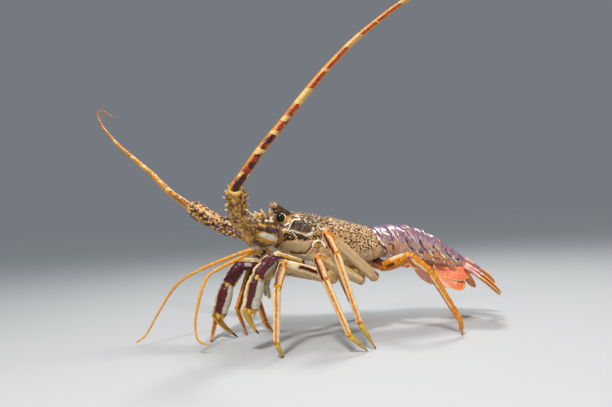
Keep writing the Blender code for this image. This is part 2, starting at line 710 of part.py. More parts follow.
def peduncle_spines(side, number):
    """Thorns along one thick antenna length, leaning towards its far end."""
    name = list(PEDUNCLE_RADII)[number]
    count, angles, length = PEDUNCLE_SPINES[name]
    draw = random.Random(SPINE_SEED + number)
    joints = [np.array(p, float) for p in ANTENNA_JOINTS[side]]
    start, end = joints[number], joints[number + 1]
    way = unit(end - start)
    up = unit(np.array([0.0, 0.0, 1.0]) - way * way[2])
    out = np.cross(way, up)
    made = []
    for k in range(count):
        for j, angle in enumerate(angles):
            share = 0.25 + 0.6 * (k + 0.5 * (j % 2)) / count + draw.uniform(-0.03, 0.03)
            radius = float(np.interp(share, PEDUNCLE_STOPS, PEDUNCLE_RADII[name]))
            turn = angle + draw.uniform(-0.12, 0.12)
            normal = up * math.cos(turn) * 1.06 + out * math.sin(turn) * 0.94
            place = start + (end - start) * share + normal * radius
            lean = unit(unit(normal) * 0.75 + way * 0.55)
            size = length * draw.uniform(0.75, 1.2)
            made.append(spine("thorn", place - lean * (SPINE_SINK + 0.4), place + lean * size, 0.3 * size, 4))
    return made


def make_head():
    """The plate between the antenna bases and the mouth shield under them."""
    rows = []
    keys = [(-122.0, 10.0, 138.0, 118.0), (-112.0, 15.0, 147.0, 112.0), (-98.0, 20.0, 160.0, 110.0),
            (-83.3, 22.0, 166.0, 112.0)]
    for k in range(6):
        x = keys[0][0] + (keys[-1][0] - keys[0][0]) * k / 5
        half, top, bottom = ease(keys, x)
        mid = (top + bottom) / 2
        turns = [2 * math.pi * (j + 0.5) / 14 for j in range(14)]
        rows.append([np.array([x, half * bent(math.cos(a), 0.8), mid + (top - mid) * bent(math.sin(a), 0.8)])
                     for a in turns])
    return loft("head", rows, SHELL)


def make_antennule(side):
    """The thin two-branched feeler under the antennae."""
    pts = smooth_points(ANTENNULE_POINTS[side], 3)
    count = len(pts)
    radii = [3.4 - 2.2 * (k / (count - 1)) ** 0.8 for k in range(count)]
    return tube("antennule_%s" % side, pts, radii, LEG, 1)


def make_maxilliped(side, sign):
    """The mouth leg that folds forward and hangs under the mouth."""
    path = [(-54, sign * 9, 96), (-78, sign * 12, 93), (-98, sign * 14, 92), (-106, sign * 14.5, 80),
            (-104, sign * 14, 59)]
    return blade("maxilliped_%s" % side, path, lambda t: 5.2 - 3.4 * t, lambda t: 4.0 - 2.6 * t,
                 (0, 1, 0), UNDERSIDE, rings=10, sides=8)


def rounded(t, root, most, peak=0.62, tip=0.5):
    """A blade's half width: narrow root, broad middle, round end."""
    if t < peak:
        return root + (most - root) * math.sin(math.pi / 2 * t / peak)
    return max(most * math.sqrt(max(0.0, 1 - ((t - peak) / (1.03 - peak)) ** 2)), tip)


def make_fan():
    """The telson and the four side blades."""
    made = [blade("telson", [(197, 0, 92), (214, 0, 80), (232, 0, 66), (246, 0, 53)],
                  lambda t: rounded(t, 12, 15.5, 0.5), lambda t: 2.6 - 2.0 * t, (0.5, 0, 1), FAN, rings=9)]
    for side, sign in (("left", -1), ("right", 1)):
        made.append(blade("uropod_inner_" + side,
                          [(191, sign * 15, 86), (204, sign * 22, 75), (220, sign * 30, 59), (233, sign * 36, 43)],
                          lambda t: rounded(t, 5, 12), lambda t: 2.2 - 1.6 * t, (0.5, 0, 1), FAN, rings=9))
        made.append(blade("uropod_outer_" + side,
                          [(188, sign * 20, 82), (197, sign * 31, 72), (210, sign * 44, 57), (222, sign * 53, 42)],
                          lambda t: rounded(t, 5, 13), lambda t: 2.2 - 1.6 * t, (0.5, 0, 1), FAN, rings=9))
    return made


def make_pleopod(number, sign, side):
    """A leaf that hangs under a tail ring and swings back, with a second lobe on the last one."""
    front, rear = RING_BORDERS[number - 1], RING_BORDERS[number]
    root, back, down, broad = LEAF_REACH[number]
    x = front[1][0] * (1 - root) + rear[1][0] * root
    z = front[1][1] * (1 - root) + rear[1][1] * root
    lobes = []
    for turn in LEAF_LOBES[:2 if number == 5 else 1]:
        reach_x = back * math.cos(turn) + down * math.sin(turn)
        reach_z = down * math.cos(turn) - back * math.sin(turn)
        path = [(x, sign * 13, z + 4), (x + reach_x * 0.1, sign * 14, z - reach_z * 0.22),
                (x + reach_x * 0.55, sign * 17, z - reach_z * 0.68), (x + reach_x, sign * 19, z - reach_z)]
        lobes.append(blade("pleopod_%d_%s" % (number, side), path, lambda t: rounded(t, 2.6, broad),
                           lambda t: 1.5 - 1.0 * t, (0.8, sign, 0.1), FAN, rings=8, sides=6))
    if len(lobes) > 1:
        combine(lobes[0], lobes[1:], "UNION")
    return lobes[0]


for old in list(bpy.data.objects):
    bpy.data.objects.remove(old)

lobster = bpy.data.collections.new("spiny_lobster")
work = bpy.data.collections.new("cutters")
bpy.context.scene.collection.children.link(lobster)
bpy.context.scene.collection.children.link(work)

SHELL = material("carapace_shell", (0.42, 0.27, 0.17), 0.42)
ABDOMEN = material("abdomen_shell", (0.33, 0.20, 0.22), 0.35)
UNDERSIDE = material("underside", (0.62, 0.52, 0.30), 0.5)
LEG = material("leg_shell", (0.78, 0.36, 0.10), 0.38)
CLAW = material("claw_shell", (0.33, 0.08, 0.07), 0.35)
PEDUNCLE = material("antenna_base_shell", (0.52, 0.28, 0.13), 0.42)
FEELER = material("antenna_feeler", (0.62, 0.16, 0.08), 0.4)
FAN = material("fan_blade", (0.82, 0.34, 0.22), 0.4)
EYE = material("eye_black", (0.01, 0.01, 0.012), 0.12)

eyes = [make_eye("left", -1), make_eye("right", 1)]
carapace = make_carapace()
antennae = {side: make_antenna(side, sign) for side, sign in (("left", -1), ("right", 1))}
head = make_head()
sternum = make_sternum()
rings = [make_tail_ring(n) for n in range(1, 7)]

combine(carapace, [make_orbit(sign) for sign in (-1, 1)], "DIFFERENCE")
cut_clear(carapace, eyes)
for side in antennae:
    cut_clear(antennae[side][0], [carapace] + eyes)
cut_clear(antennae["right"][0], [antennae["left"][0]])
cut_clear(head, [carapace] + eyes + [antennae[side][0] for side in antennae])
cut_clear(sternum, [carapace, head])
for number, ring in enumerate(rings, 1):
    points = [pleuron(number, sign) for sign in (-1, 1)]
    for point in points:
        cut_clear(point, rings[number:number + 1])
    combine(ring, points, "UNION")

legs = {}
for leg_name, leg_joints in LEG_JOINTS.items():
    upper, lower = make_leg(leg_name, leg_joints)
    cut_clear(upper, [carapace, sternum, head, rings[0]])
    legs[leg_name] = (upper, lower)

mouth = []
for side, sign in (("left", -1), ("right", 1)):
    piece = make_maxilliped(side, sign)
    cut_clear(piece, [sternum, head, legs["1_" + side][0]])
    mouth.append(piece)

feelers = []
for side in ("left", "right"):
    feelers += make_flagellum(side)
    piece = make_antennule(side)
    cut_clear(piece, [head] + [antennae[k][0] for k in antennae])
    feelers.append(piece)

fan = make_fan()
for piece in fan:
    cut_clear(piece, [rings[5]])
leaves = []
for n in range(2, 6):
    for side, sign in (("left", -1), ("right", 1)):
        leaf = make_pleopod(n, sign, side)
        cut_clear(leaf, rings[n - 1:n + 1] + leaves[-2:-1] + fan)
        leaves.append(leaf)

bases = [antennae[side][0] for side in antennae]
beside = bases + eyes + [rings[0]] + [legs[name][0] for name in legs]
thorns = clear_of(carapace_spines(), beside)
combine(carapace, make_horn("left", -1) + make_horn("right", 1) + thorns, "UNION")
for side in antennae:
    others = [piece for k in antennae for piece in antennae[k]] + eyes + feelers + [carapace, head]
    for number, piece in enumerate(antennae[side]):
        thorns = clear_of(peduncle_spines(side, number), [body for body in others if body is not piece])
        combine(piece, thorns, "UNION")

every = [carapace, head, sternum] + eyes + rings + mouth + feelers + fan + leaves
every += [piece for side in antennae for piece in antennae[side]]
every += [piece for pair in legs.values() for piece in pair]
for piece in every:
    finish(piece)
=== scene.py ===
import math

import bpy
import numpy as np
from mathutils import Matrix


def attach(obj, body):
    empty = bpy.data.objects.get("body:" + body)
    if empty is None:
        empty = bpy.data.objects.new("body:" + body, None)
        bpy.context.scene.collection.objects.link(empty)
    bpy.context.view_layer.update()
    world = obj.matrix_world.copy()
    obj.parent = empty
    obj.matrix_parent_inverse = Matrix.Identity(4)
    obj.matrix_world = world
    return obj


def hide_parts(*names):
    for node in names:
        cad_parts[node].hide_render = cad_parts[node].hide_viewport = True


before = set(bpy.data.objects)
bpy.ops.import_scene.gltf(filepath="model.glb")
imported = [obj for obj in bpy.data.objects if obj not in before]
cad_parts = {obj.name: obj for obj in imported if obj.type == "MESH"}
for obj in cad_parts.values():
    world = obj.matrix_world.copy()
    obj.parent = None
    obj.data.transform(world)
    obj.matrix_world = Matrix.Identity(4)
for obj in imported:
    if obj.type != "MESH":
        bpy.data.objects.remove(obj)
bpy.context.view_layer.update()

# Pieces are shaped in millimetres in the animal's own frame, head towards -X, then moved to the model's
mm = 0.001
originShift = np.array((22.6, -4.48, 0.0))
bothSides = (("left", -1), ("right", 1))
eyePlace = (-86.0, 28.5, 167.5)  # middle of the right eye, which the left one mirrors


def unit(v):
    v = np.asarray(v, float)
    return v / np.maximum(np.linalg.norm(v, axis=-1, keepdims=True), 1e-9)


def bent(value, power):
    return np.sign(value) * np.abs(value) ** power


def hill(distance, width):  # 1 in the middle, fading to 0
    return np.exp(-(np.asarray(distance) / width) ** 2)


def rise(value, low, high):  # smooth step from 0 to 1, falling where low is above high
    t = np.clip((value - low) / (high - low), 0, 1)
    return t * t * (3 - 2 * t)


def softNoise(points, size, seed=0):  # smooth noise between -1 and 1
    flat = points.reshape(-1, 3) / size + seed * 7.31
    low = np.floor(flat)
    part = flat - low
    part = part * part * (3 - 2 * part)
    total = np.zeros(len(flat))
    for corner in np.ndindex(2, 2, 2):
        value = np.sin((low + corner) @ (12.9898, 78.233, 37.719) + seed) * 43758.5453
        weight = np.prod(np.where(np.array(corner) == 1, part, 1 - part), axis=1)
        total += weight * (value - np.floor(value))
    return (total * 2 - 1).reshape(points.shape[:-1])


def circle(count):  # evenly spaced angles, in radians
    return 2 * math.pi * np.arange(count) / count


def runAlong(path):  # distance reached at each place of a line
    return np.concatenate(([0.0], np.cumsum(np.linalg.norm(np.diff(path, axis=0), axis=1))))


def readKeys(keys, x):  # smooth curve through rows of (place, value, value, ...)
    table = np.asarray(keys, float)
    xs = table[:, 0]
    slopes = np.gradient(table, xs, axis=0)
    x = np.asarray(x, float)
    i = np.clip(np.searchsorted(xs, x) - 1, 0, len(xs) - 2)
    h = (xs[i + 1] - xs[i])[..., None]
    t = (x - xs[i])[..., None] / h
    out = ((2 * t ** 3 - 3 * t ** 2 + 1) * table[i] + (t ** 3 - 2 * t ** 2 + t) * h * slopes[i]
           + (3 * t ** 2 - 2 * t ** 3) * table[i + 1] + (t ** 3 - t ** 2) * h * slopes[i + 1])
    return np.moveaxis(out[..., 1:], -1, 0)


def smoothPath(points, count):  # evenly spaced places along a smooth curve through the points
    pts = np.asarray(points, float)
    ends = np.vstack((2 * pts[0] - pts[1], pts, 2 * pts[-1] - pts[-2]))
    t = np.linspace(0, 1, 24, endpoint=False)[:, None]
    dense = []
    for a, b, c, d in zip(ends, ends[1:], ends[2:], ends[3:]):
        dense.append(0.5 * (2 * b + (c - a) * t + (2 * a - 5 * b + 4 * c - d) * t ** 2
                            + (3 * b - a - 3 * c + d) * t ** 3))
    dense = np.vstack(dense + [pts[-1:]])
    run = runAlong(dense)
    at = np.linspace(0, run[-1], count)
    return np.stack([np.interp(at, run, dense[:, k]) for k in range(3)], axis=1)


def lineDistance(points, path):  # distance of each point to a line of places
    flat = points.reshape(-1, 3)
    best = np.full(len(flat), 1e9)
    path = np.asarray(path, float)
    for a, b in zip(path, path[1:]):
        along = b - a
        t = np.clip((flat - a) @ along / (along @ along), 0, 1)
        best = np.minimum(best, np.linalg.norm(flat - a - t[:, None] * along, axis=1))
    return best.reshape(points.shape[:-1])


def insideOutline(points, outline):  # which places lie inside an outline, both seen from the side
    x, z = points[..., 0], points[..., 2]
    inside = np.zeros(x.shape, bool)
    for (ax, az), (bx, bz) in zip(outline, outline[1:] + outline[:1]):
        if az != bz:
            inside ^= ((az > z) != (bz > z)) & (x < (bx - ax) * (z - az) / (bz - az) + ax)
    return inside


def sideDistance(points, path):  # distance to a line of (x, z) places, seen from the side
    return lineDistance(points * (1, 0, 1), [(x, 0, z) for x, z in path])


def areaShare(points, outline, soft):  # 1 inside an outline, 0 outside, with a soft border
    away = sideDistance(points, outline + outline[:1])
    return rise(np.where(insideOutline(points, outline), away, -away), -soft, soft)


def addMark(marks, mark, value):  # keeps the stronger of the old and the new mark
    marks[mark] = np.maximum(marks.get(mark, 0.0), value)


# Marks drawn in the side view, with wavering borders: (mark, softness or width, amount, outline or line);
# shown is the share of them that each place keeps
def drawMarks(points, drawing, shown=1.0):
    marks = {}
    drift = np.stack([softNoise(points, 3.0, 51), 0 * points[..., 0], softNoise(points, 3.0, 52)], axis=-1)
    points = points + 0.8 * drift
    for mark, soft, amount, outline in drawing["areas"]:
        addMark(marks, mark, amount * areaShare(points, outline, soft))
    for mark, width, amount, path in drawing["lines"]:
        addMark(marks, mark, amount * rise(sideDistance(points, path), 1.25 * width, 0.5 * width))
    return {mark: value * shown for mark, value in marks.items()}


def joinMarks(*sets):  # the stronger of several sets of marks
    joined = {}
    for marks in sets:
        for mark, value in marks.items():
            addMark(joined, mark, value)
    return joined


def gridForm(grid, capStart=True, capEnd=True, **masks):  # a closed form from rings of places
    rows, cols = grid.shape[:2]
    index = np.arange(rows * cols).reshape(rows, cols)
    turned = np.roll(index, -1, axis=1)
    quads = np.stack((index[:-1], turned[:-1], turned[1:], index[1:]), -1).reshape(-1, 4)
    verts, tris, ends = [grid.reshape(-1, 3)], [np.zeros((0, 3), int)], []
    for wanted, row in ((capStart, 0), (capEnd, rows - 1)):
        if wanted:
            fan = np.stack((index[row], turned[row], np.full(cols, rows * cols + len(ends))), -1)
            tris.append(fan[:, ::-1] if row == 0 else fan)
            verts.append(grid[row].mean(axis=0)[None])
            ends.append(row)
    form = {"verts": np.vstack(verts), "quads": quads, "tris": np.vstack(tris), "masks": {}}
    for key, value in masks.items():
        value = np.broadcast_to(value, (rows, cols)).astype(float)
        form["masks"][key] = np.concatenate([value.reshape(-1)] + [[value[row].mean()] for row in ends])
    corners = form["verts"] - form["verts"].mean(axis=0)
    a, b, c, d = (corners[quads[:, k]] for k in range(4))
    if np.sum(a * np.cross(b, c)) + np.sum(a * np.cross(c, d)) < 0:
        form["quads"], form["tris"] = quads[:, ::-1], form["tris"][:, ::-1]
    return form


def gridNormals(grid):  # outward directions on a ring grid
    along = np.gradient(grid, axis=0)
    around = np.roll(grid, -1, axis=1) - np.roll(grid, 1, axis=1)
    normal = unit(np.cross(around, along))
    outwards = np.sum(normal * (grid - grid.mean(axis=1, keepdims=True)))
    return normal if outwards > 0 else -normal


def addObject(name, data):
    made = bpy.data.objects.new(name, data)
    bpy.context.scene.collection.objects.link(made)
    return made


def storeMark(mesh, mark, values):
    mesh.attributes.new(mark, "FLOAT", "POINT").data.foreach_set("value", values)


def adopt(piece, nodes=()):
    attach(piece, "root")
    if nodes:
        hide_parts(*nodes)


def makePiece(name, forms, surface, nodes=()):  # one shaded mesh object from closed forms
    forms = forms if isinstance(forms, list) else [forms]
    offset, verts, faces = 0, [], []
    for form in forms:
        verts.append(form["verts"])
        faces += (form["quads"] + offset).tolist() + (form["tris"] + offset).tolist()
        offset += len(form["verts"])
    mesh = bpy.data.meshes.new(name)
    mesh.from_pydata(((np.vstack(verts) + originShift) * mm).tolist(), [], faces)
    for key in sorted({key for form in forms for key in form["masks"]}):
        values = [form["masks"].get(key, np.zeros(len(form["verts"]))) for form in forms]
        storeMark(mesh, key, np.concatenate(values))
    mesh.shade_smooth()
    mesh.materials.append(surface)
    adopt(addObject(name, mesh), nodes)


def addNode(tree, kind, inputs=None, **values):
    node = tree.nodes.new(kind)
    for key, value in values.items():
        setattr(node, key, value)
    for key, value in (inputs or {}).items():
        if isinstance(value, bpy.types.NodeSocket):
            tree.links.new(value, node.inputs[key])
        else:
            node.inputs[key].default_value = value
    return node


def setInputs(node, values):
    for key, value in values.items():
        node.inputs[key].default_value = value


def mixColour(tree, share, first, second):
    def colour(value):
        return value if isinstance(value, bpy.types.NodeSocket) else (*value, 1.0)
    node = addNode(tree, "ShaderNodeMix", {0: share, 6: colour(first), 7: colour(second)}, data_type="RGBA")
    return node.outputs[2]


def fitRange(tree, value, low, high, newLow=0.0, newHigh=1.0):
    inputs = {"Value": value, "From Min": low, "From Max": high, "To Min": newLow, "To Max": newHigh}
    return addNode(tree, "ShaderNodeMapRange", inputs, interpolation_type="SMOOTHSTEP").outputs[0]


def calc(tree, operation, first, second):
    return addNode(tree, "ShaderNodeMath", {0: first, 1: second}, operation=operation).outputs[0]


def texture(tree, kind, place, scale, **inputs):
    return addNode(tree, "ShaderNodeTex" + kind, {"Vector": place, "Scale": scale, **inputs}).outputs


def markOf(tree, mark):  # a mark stored on the piece
    return addNode(tree, "ShaderNodeAttribute", attribute_name=mark).outputs["Fac"]


# Lengths in metres. Marks (dark, pale, warm, violet, wash) come from the piece's own attributes
baseLook = {
    "light": (0.5, 0.33, 0.2), "deep": (0.3, 0.17, 0.1), "grain": 0.004, "fleckTint": (0.05, 0.02, 0.03),
    "fleckSize": 0.0042, "dark": (0.09, 0.02, 0.025), "pale": (0.82, 0.7, 0.5), "warm": (0.8, 0.42, 0.06),
    "violet": (0.2, 0.08, 0.32), "wash": (0.34, 0.25, 0.12), "rough": (0.28, 0.5), "bumpSize": 0.0012,
    "bump": 0.35, "coat": 0.25, "coatRough": 0.18, "soft": 0.0, "specular": 0.5, "speck": (0.85, 0.55, 0.12),
    "speckSize": 0.0026, "flecks": (0.38, 0.27), "contrast": (0.36, 0.64), "ragged": 450.0,
    "softScale": 0.002, "softReach": (1.0, 0.45, 0.25),
}


def shellMaterial(name, look):
    look = {**baseLook, **look}
    made = bpy.data.materials.new(name)
    made.use_nodes = True
    tree = made.node_tree
    shader = tree.nodes["Principled BSDF"]
    place = addNode(tree, "ShaderNodeTexCoord").outputs["Object"]
    grain = texture(tree, "Noise", place, 1 / look["grain"], Detail=5.0, Roughness=0.62)[0]
    broad = texture(tree, "Noise", place, 0.16 / look["grain"], Detail=3.0)[0]
    colour = mixColour(tree, fitRange(tree, grain, *look["contrast"]), look["light"], look["deep"])
    colour = mixColour(tree, fitRange(tree, broad, 0.4, 0.75, 0.0, 0.55), colour, look["deep"])
    cells = texture(tree, "Voronoi", place, 1 / look["fleckSize"], Randomness=0.95)["Distance"]
    spots = calc(tree, "MULTIPLY", fitRange(tree, cells, *look["flecks"]), markOf(tree, "fleck"))
    colour = mixColour(tree, spots, colour, look["fleckTint"])
    ragged = texture(tree, "Noise", place, look["ragged"], Detail=4.0)[0]
    ragged = calc(tree, "MULTIPLY", calc(tree, "SUBTRACT", ragged, 0.5), 0.4)
    for mark in ("wash", "warm", "dark", "pale", "violet"):
        amount = markOf(tree, mark)
        amount = calc(tree, "MULTIPLY", fitRange(tree, calc(tree, "ADD", amount, ragged), 0.22, 0.5),
                      calc(tree, "MINIMUM", amount, 1.0))
        shade = mixColour(tree, fitRange(tree, grain, 0.3, 0.7, 0.0, 0.4), look[mark],
                          [c * 0.55 for c in look[mark]])
        colour = mixColour(tree, amount, colour, shade)
    drops = fitRange(tree, texture(tree, "Voronoi", place, 1 / look["speckSize"])["Distance"], 0.36, 0.26)
    colour = mixColour(tree, calc(tree, "MULTIPLY", drops, markOf(tree, "speck")), colour, look["speck"])
    tree.links.new(colour, shader.inputs["Base Color"])
    tree.links.new(fitRange(tree, grain, 0.3, 0.7, *look["rough"]), shader.inputs["Roughness"])
    pits = texture(tree, "Voronoi", place, 1 / look["bumpSize"])["Distance"]
    height = calc(tree, "ADD", calc(tree, "MULTIPLY", pits, 0.7), grain)
    relief = addNode(tree, "ShaderNodeBump", {"Height": height, "Strength": look["bump"], "Distance": 0.0006})
    tree.links.new(relief.outputs[0], shader.inputs["Normal"])
    values = {"Coat Weight": look["coat"], "Coat Roughness": look["coatRough"],
              "Specular IOR Level": look["specular"]}
    if look["soft"]:
        values.update({"Subsurface Weight": look["soft"], "Subsurface Scale": look["softScale"],
                       "Subsurface Radius": look["softReach"]})
    setInputs(shader, values)
    return made


surfaces = {
    "shell": shellMaterial("Back shell", {
        "light": (0.66, 0.44, 0.23), "deep": (0.38, 0.2, 0.08), "dark": (0.028, 0.005, 0.005), "coat": 0.06,
        "pale": (0.86, 0.78, 0.6), "violet": (0.1, 0.05, 0.13), "wash": (0.46, 0.33, 0.17), "specular": 0.2,
        "warm": (0.74, 0.3, 0.02), "fleckTint": (0.03, 0.008, 0.007), "fleckSize": 0.0033,
        "flecks": (0.46, 0.36)}),
    "underside": shellMaterial("Underside", {
        "light": (0.56, 0.44, 0.2), "deep": (0.34, 0.24, 0.09), "soft": 0.1, "rough": (0.4, 0.6),
        "fleckTint": (0.3, 0.12, 0.05)}),
    "abdomen": shellMaterial("Tail ring shell", {
        "light": (0.4, 0.23, 0.28), "deep": (0.2, 0.09, 0.12), "pale": (0.92, 0.84, 0.68),
        "warm": (0.58, 0.2, 0.05), "dark": (0.025, 0.008, 0.008), "wash": (0.56, 0.34, 0.18),
        "violet": (0.27, 0.18, 0.5), "rough": (0.2, 0.38), "coat": 0.4, "bump": 0.22,
        "fleckTint": (0.14, 0.06, 0.08)}),
    "peduncle": shellMaterial("Antenna base shell", {
        "light": (0.74, 0.44, 0.12), "deep": (0.25, 0.085, 0.012), "dark": (0.035, 0.006, 0.006),
        "coat": 0.06, "violet": (0.1, 0.045, 0.11), "warm": (0.76, 0.38, 0.03), "pale": (0.84, 0.77, 0.62),
        "specular": 0.2, "wash": (0.64, 0.36, 0.2), "fleckTint": (0.2, 0.06, 0.02)}),
    "feeler": shellMaterial("Feeler", {
        "light": (0.42, 0.055, 0.01), "deep": (0.22, 0.02, 0.006), "warm": (0.74, 0.31, 0.02),
        "dark": (0.05, 0.008, 0.008), "pale": (0.78, 0.5, 0.15), "wash": (0.78, 0.34, 0.02), "specular": 0.3,
        "coat": 0.1, "grain": 0.003, "bump": 0.2, "rough": (0.25, 0.42)}),
    "antennule": shellMaterial("Antennule", {
        "light": (0.84, 0.4, 0.015), "deep": (0.7, 0.25, 0.008), "pale": (0.9, 0.7, 0.3),
        "dark": (0.35, 0.1, 0.02), "bump": 0.15, "rough": (0.25, 0.4), "soft": 0.1}),
    "claw": shellMaterial("Claw leg shell", {
        "light": (0.12, 0.016, 0.018), "deep": (0.045, 0.006, 0.008), "pale": (0.84, 0.68, 0.36),
        "wash": (0.58, 0.53, 0.4), "warm": (0.72, 0.4, 0.04), "dark": (0.03, 0.01, 0.01),
        "rough": (0.22, 0.4), "violet": (0.2, 0.08, 0.34), "coat": 0.1, "specular": 0.3, "grain": 0.003}),
    "leg": shellMaterial("Walking leg shell", {
        "light": (0.78, 0.31, 0.01), "deep": (0.56, 0.15, 0.005), "dark": (0.07, 0.008, 0.008), "bump": 0.2,
        "warm": (0.66, 0.42, 0.03), "wash": (0.66, 0.45, 0.22), "violet": (0.2, 0.08, 0.34),
        "rough": (0.36, 0.52), "pale": (0.84, 0.7, 0.42), "coat": 0.04, "specular": 0.3,
        "fleckTint": (0.36, 0.1, 0.012), "fleckSize": 0.003, "flecks": (0.34, 0.24)}),
    "fan": shellMaterial("Tail fan blade", {
        "light": (0.9, 0.36, 0.13), "deep": (0.76, 0.22, 0.08), "warm": (0.92, 0.5, 0.08),
        "pale": (0.86, 0.78, 0.78), "violet": (0.3, 0.17, 0.4), "dark": (0.12, 0.04, 0.08), "soft": 0.15,
        "rough": (0.3, 0.5)}),
    "leaf": shellMaterial("Under leaf", {
        "light": (0.92, 0.3, 0.12), "deep": (0.86, 0.17, 0.06), "warm": (0.95, 0.62, 0.2),
        "pale": (0.95, 0.55, 0.36), "wash": (0.92, 0.42, 0.36), "violet": (0.66, 0.36, 0.5), "soft": 0.4,
        "bump": 0.12, "rough": (0.35, 0.55), "coat": 0.15}),
    "thorn": shellMaterial("Thorn", {
        "light": (0.5, 0.26, 0.08), "deep": (0.26, 0.1, 0.03), "pale": (0.86, 0.68, 0.3),
        "warm": (0.76, 0.4, 0.04), "dark": (0.07, 0.022, 0.02), "bump": 0.1, "grain": 0.002}),
    "bristle": shellMaterial("Bristle", {
        "light": (0.5, 0.34, 0.14), "deep": (0.32, 0.19, 0.07), "bump": 0.0, "coat": 0.0}),
    "stalk": shellMaterial("Eye stalk", {
        "light": (0.62, 0.5, 0.32), "deep": (0.4, 0.24, 0.14), "warm": (0.85, 0.42, 0.04), "soft": 0.1,
        "bump": 0.1}),
}
print("surfaces ready")


# Thorns, bristles and other small growths stand on a surface by Geometry Nodes
# One growth, 1 unit long, with its root at the origin
def growthShape(name, radius, facets=6, rows=6, bow=0.08, flare=0.5):
    verts, faces, marks = [], [], []
    for i in range(rows):
        t = i / rows
        r = radius * ((1 - t) ** 0.9 + flare * math.exp(-t * 9))
        for k in range(facets):
            turn = 2 * math.pi * k / facets
            verts.append((r * math.cos(turn) + bow * t * t, r * math.sin(turn), -0.22 + 1.22 * t))
            marks.append(t)
    verts.append((bow, 0, 1.0))
    marks.append(1.0)
    for i in range(rows - 1):
        for k in range(facets):
            j = (k + 1) % facets
            faces.append((i * facets + k, i * facets + j, (i + 1) * facets + j, (i + 1) * facets + k))
    top = (rows - 1) * facets
    faces += [(top + k, top + (k + 1) % facets, len(verts) - 1) for k in range(facets)]
    faces.append(tuple(reversed(range(facets))))
    mesh = bpy.data.meshes.new(name)
    mesh.from_pydata(verts, [], faces)
    t = np.array(marks)
    # the dark band at the root is partly the growth's own dark base and partly painted shade where it meets the
    # surface
    for mark, value in (("pale", rise(t, 0.55, 0.85)), ("warm", rise(t, 0.35, 0.55)),
                        ("dark", hill(t - 0.1, 0.22))):
        storeMark(mesh, mark, value)
    mesh.shade_smooth()
    return addObject(name, mesh)


def namedInputs(tree, rows):  # a tree's inputs and what a modifier calls them
    sockets = {}
    for label, kind, value in rows:
        socket = tree.interface.new_socket(name=label, in_out="INPUT", socket_type="NodeSocket" + kind)
        if value is not None:
            socket.default_value = value
        sockets[label] = socket.identifier
    tree.interface.new_socket(name="Geometry", in_out="OUTPUT", socket_type="NodeSocketGeometry")
    return addNode(tree, "NodeGroupInput").outputs, sockets


def endTree(tree, geometry, surface):
    real = addNode(tree, "GeometryNodeRealizeInstances", {"Geometry": geometry})
    painted = addNode(tree, "GeometryNodeSetMaterial", {"Geometry": real.outputs[0], "Material": surface})
    tree.links.new(painted.outputs[0], addNode(tree, "NodeGroupOutput").inputs[0])


def applyTree(holder, tree, sockets, values):  # the object keeps the plain mesh that the tree makes of it
    source = holder.data
    step = holder.modifiers.new(tree.name, "NODES")
    step.node_group = tree
    for label, value in values.items():
        step[sockets[label]] = value
    bpy.context.view_layer.update()
    made = bpy.data.meshes.new_from_object(holder.evaluated_get(bpy.context.evaluated_depsgraph_get()))
    holder.modifiers.remove(step)
    holder.data = made
    bpy.data.meshes.remove(source)
    return made


def growthTree():  # points on a ground mesh, each with a growth that leans as the ground's attribute says
    tree = bpy.data.node_groups.new("Grow on surface", "GeometryNodeTree")
    given, sockets = namedInputs(tree, (
        ("Geometry", "Geometry", None), ("Growth", "Object", None), ("Surface", "Material", None),
        ("Spacing", "Float", 0.006), ("Most per area", "Float", 30000.0), ("Length", "Float", 0.004),
        ("Least share", "Float", 0.7), ("Seed", "Int", 3)))

    def named(label, kind="FLOAT"):
        node = addNode(tree, "GeometryNodeInputNamedAttribute", {"Name": label}, data_type=kind)
        return node.outputs["Attribute"]

    points = addNode(tree, "GeometryNodeDistributePointsOnFaces", {
        "Mesh": given["Geometry"], "Distance Min": given["Spacing"], "Density Max": given["Most per area"],
        "Density Factor": named("crowd"), "Seed": given["Seed"]}, distribute_method="POISSON")
    shape = addNode(tree, "GeometryNodeObjectInfo", {"Object": given["Growth"]})
    turn = addNode(tree, "FunctionNodeAlignRotationToVector",
                   {"Vector": named("lean", "FLOAT_VECTOR")}, axis="Z")
    spread = addNode(tree, "FunctionNodeRandomValue",
                     {2: given["Least share"], 3: 1.15, "Seed": given["Seed"]}, data_type="FLOAT")
    size = calc(tree, "MULTIPLY", calc(tree, "MULTIPLY", named("tall"), given["Length"]), spread.outputs[1])
    copies = addNode(tree, "GeometryNodeInstanceOnPoints", {
        "Points": points.outputs["Points"], "Instance": shape.outputs["Geometry"],
        "Rotation": turn.outputs[0], "Scale": size})
    endTree(tree, copies.outputs[0], given["Surface"])
    return tree, sockets


growTree, growSockets = growthTree()
growthShapes = {
    "thorn": growthShape("thornShape", 0.27),
    "stout": growthShape("stoutShape", 0.42),
    "bristle": growthShape("bristleShape", 0.05, facets=3, rows=3, bow=0.15, flare=0.0),
}
growthDefaults = {"shape": "thorn", "surface": "thorn", "crowding": 60000.0, "seed": 3, "least": 0.7}


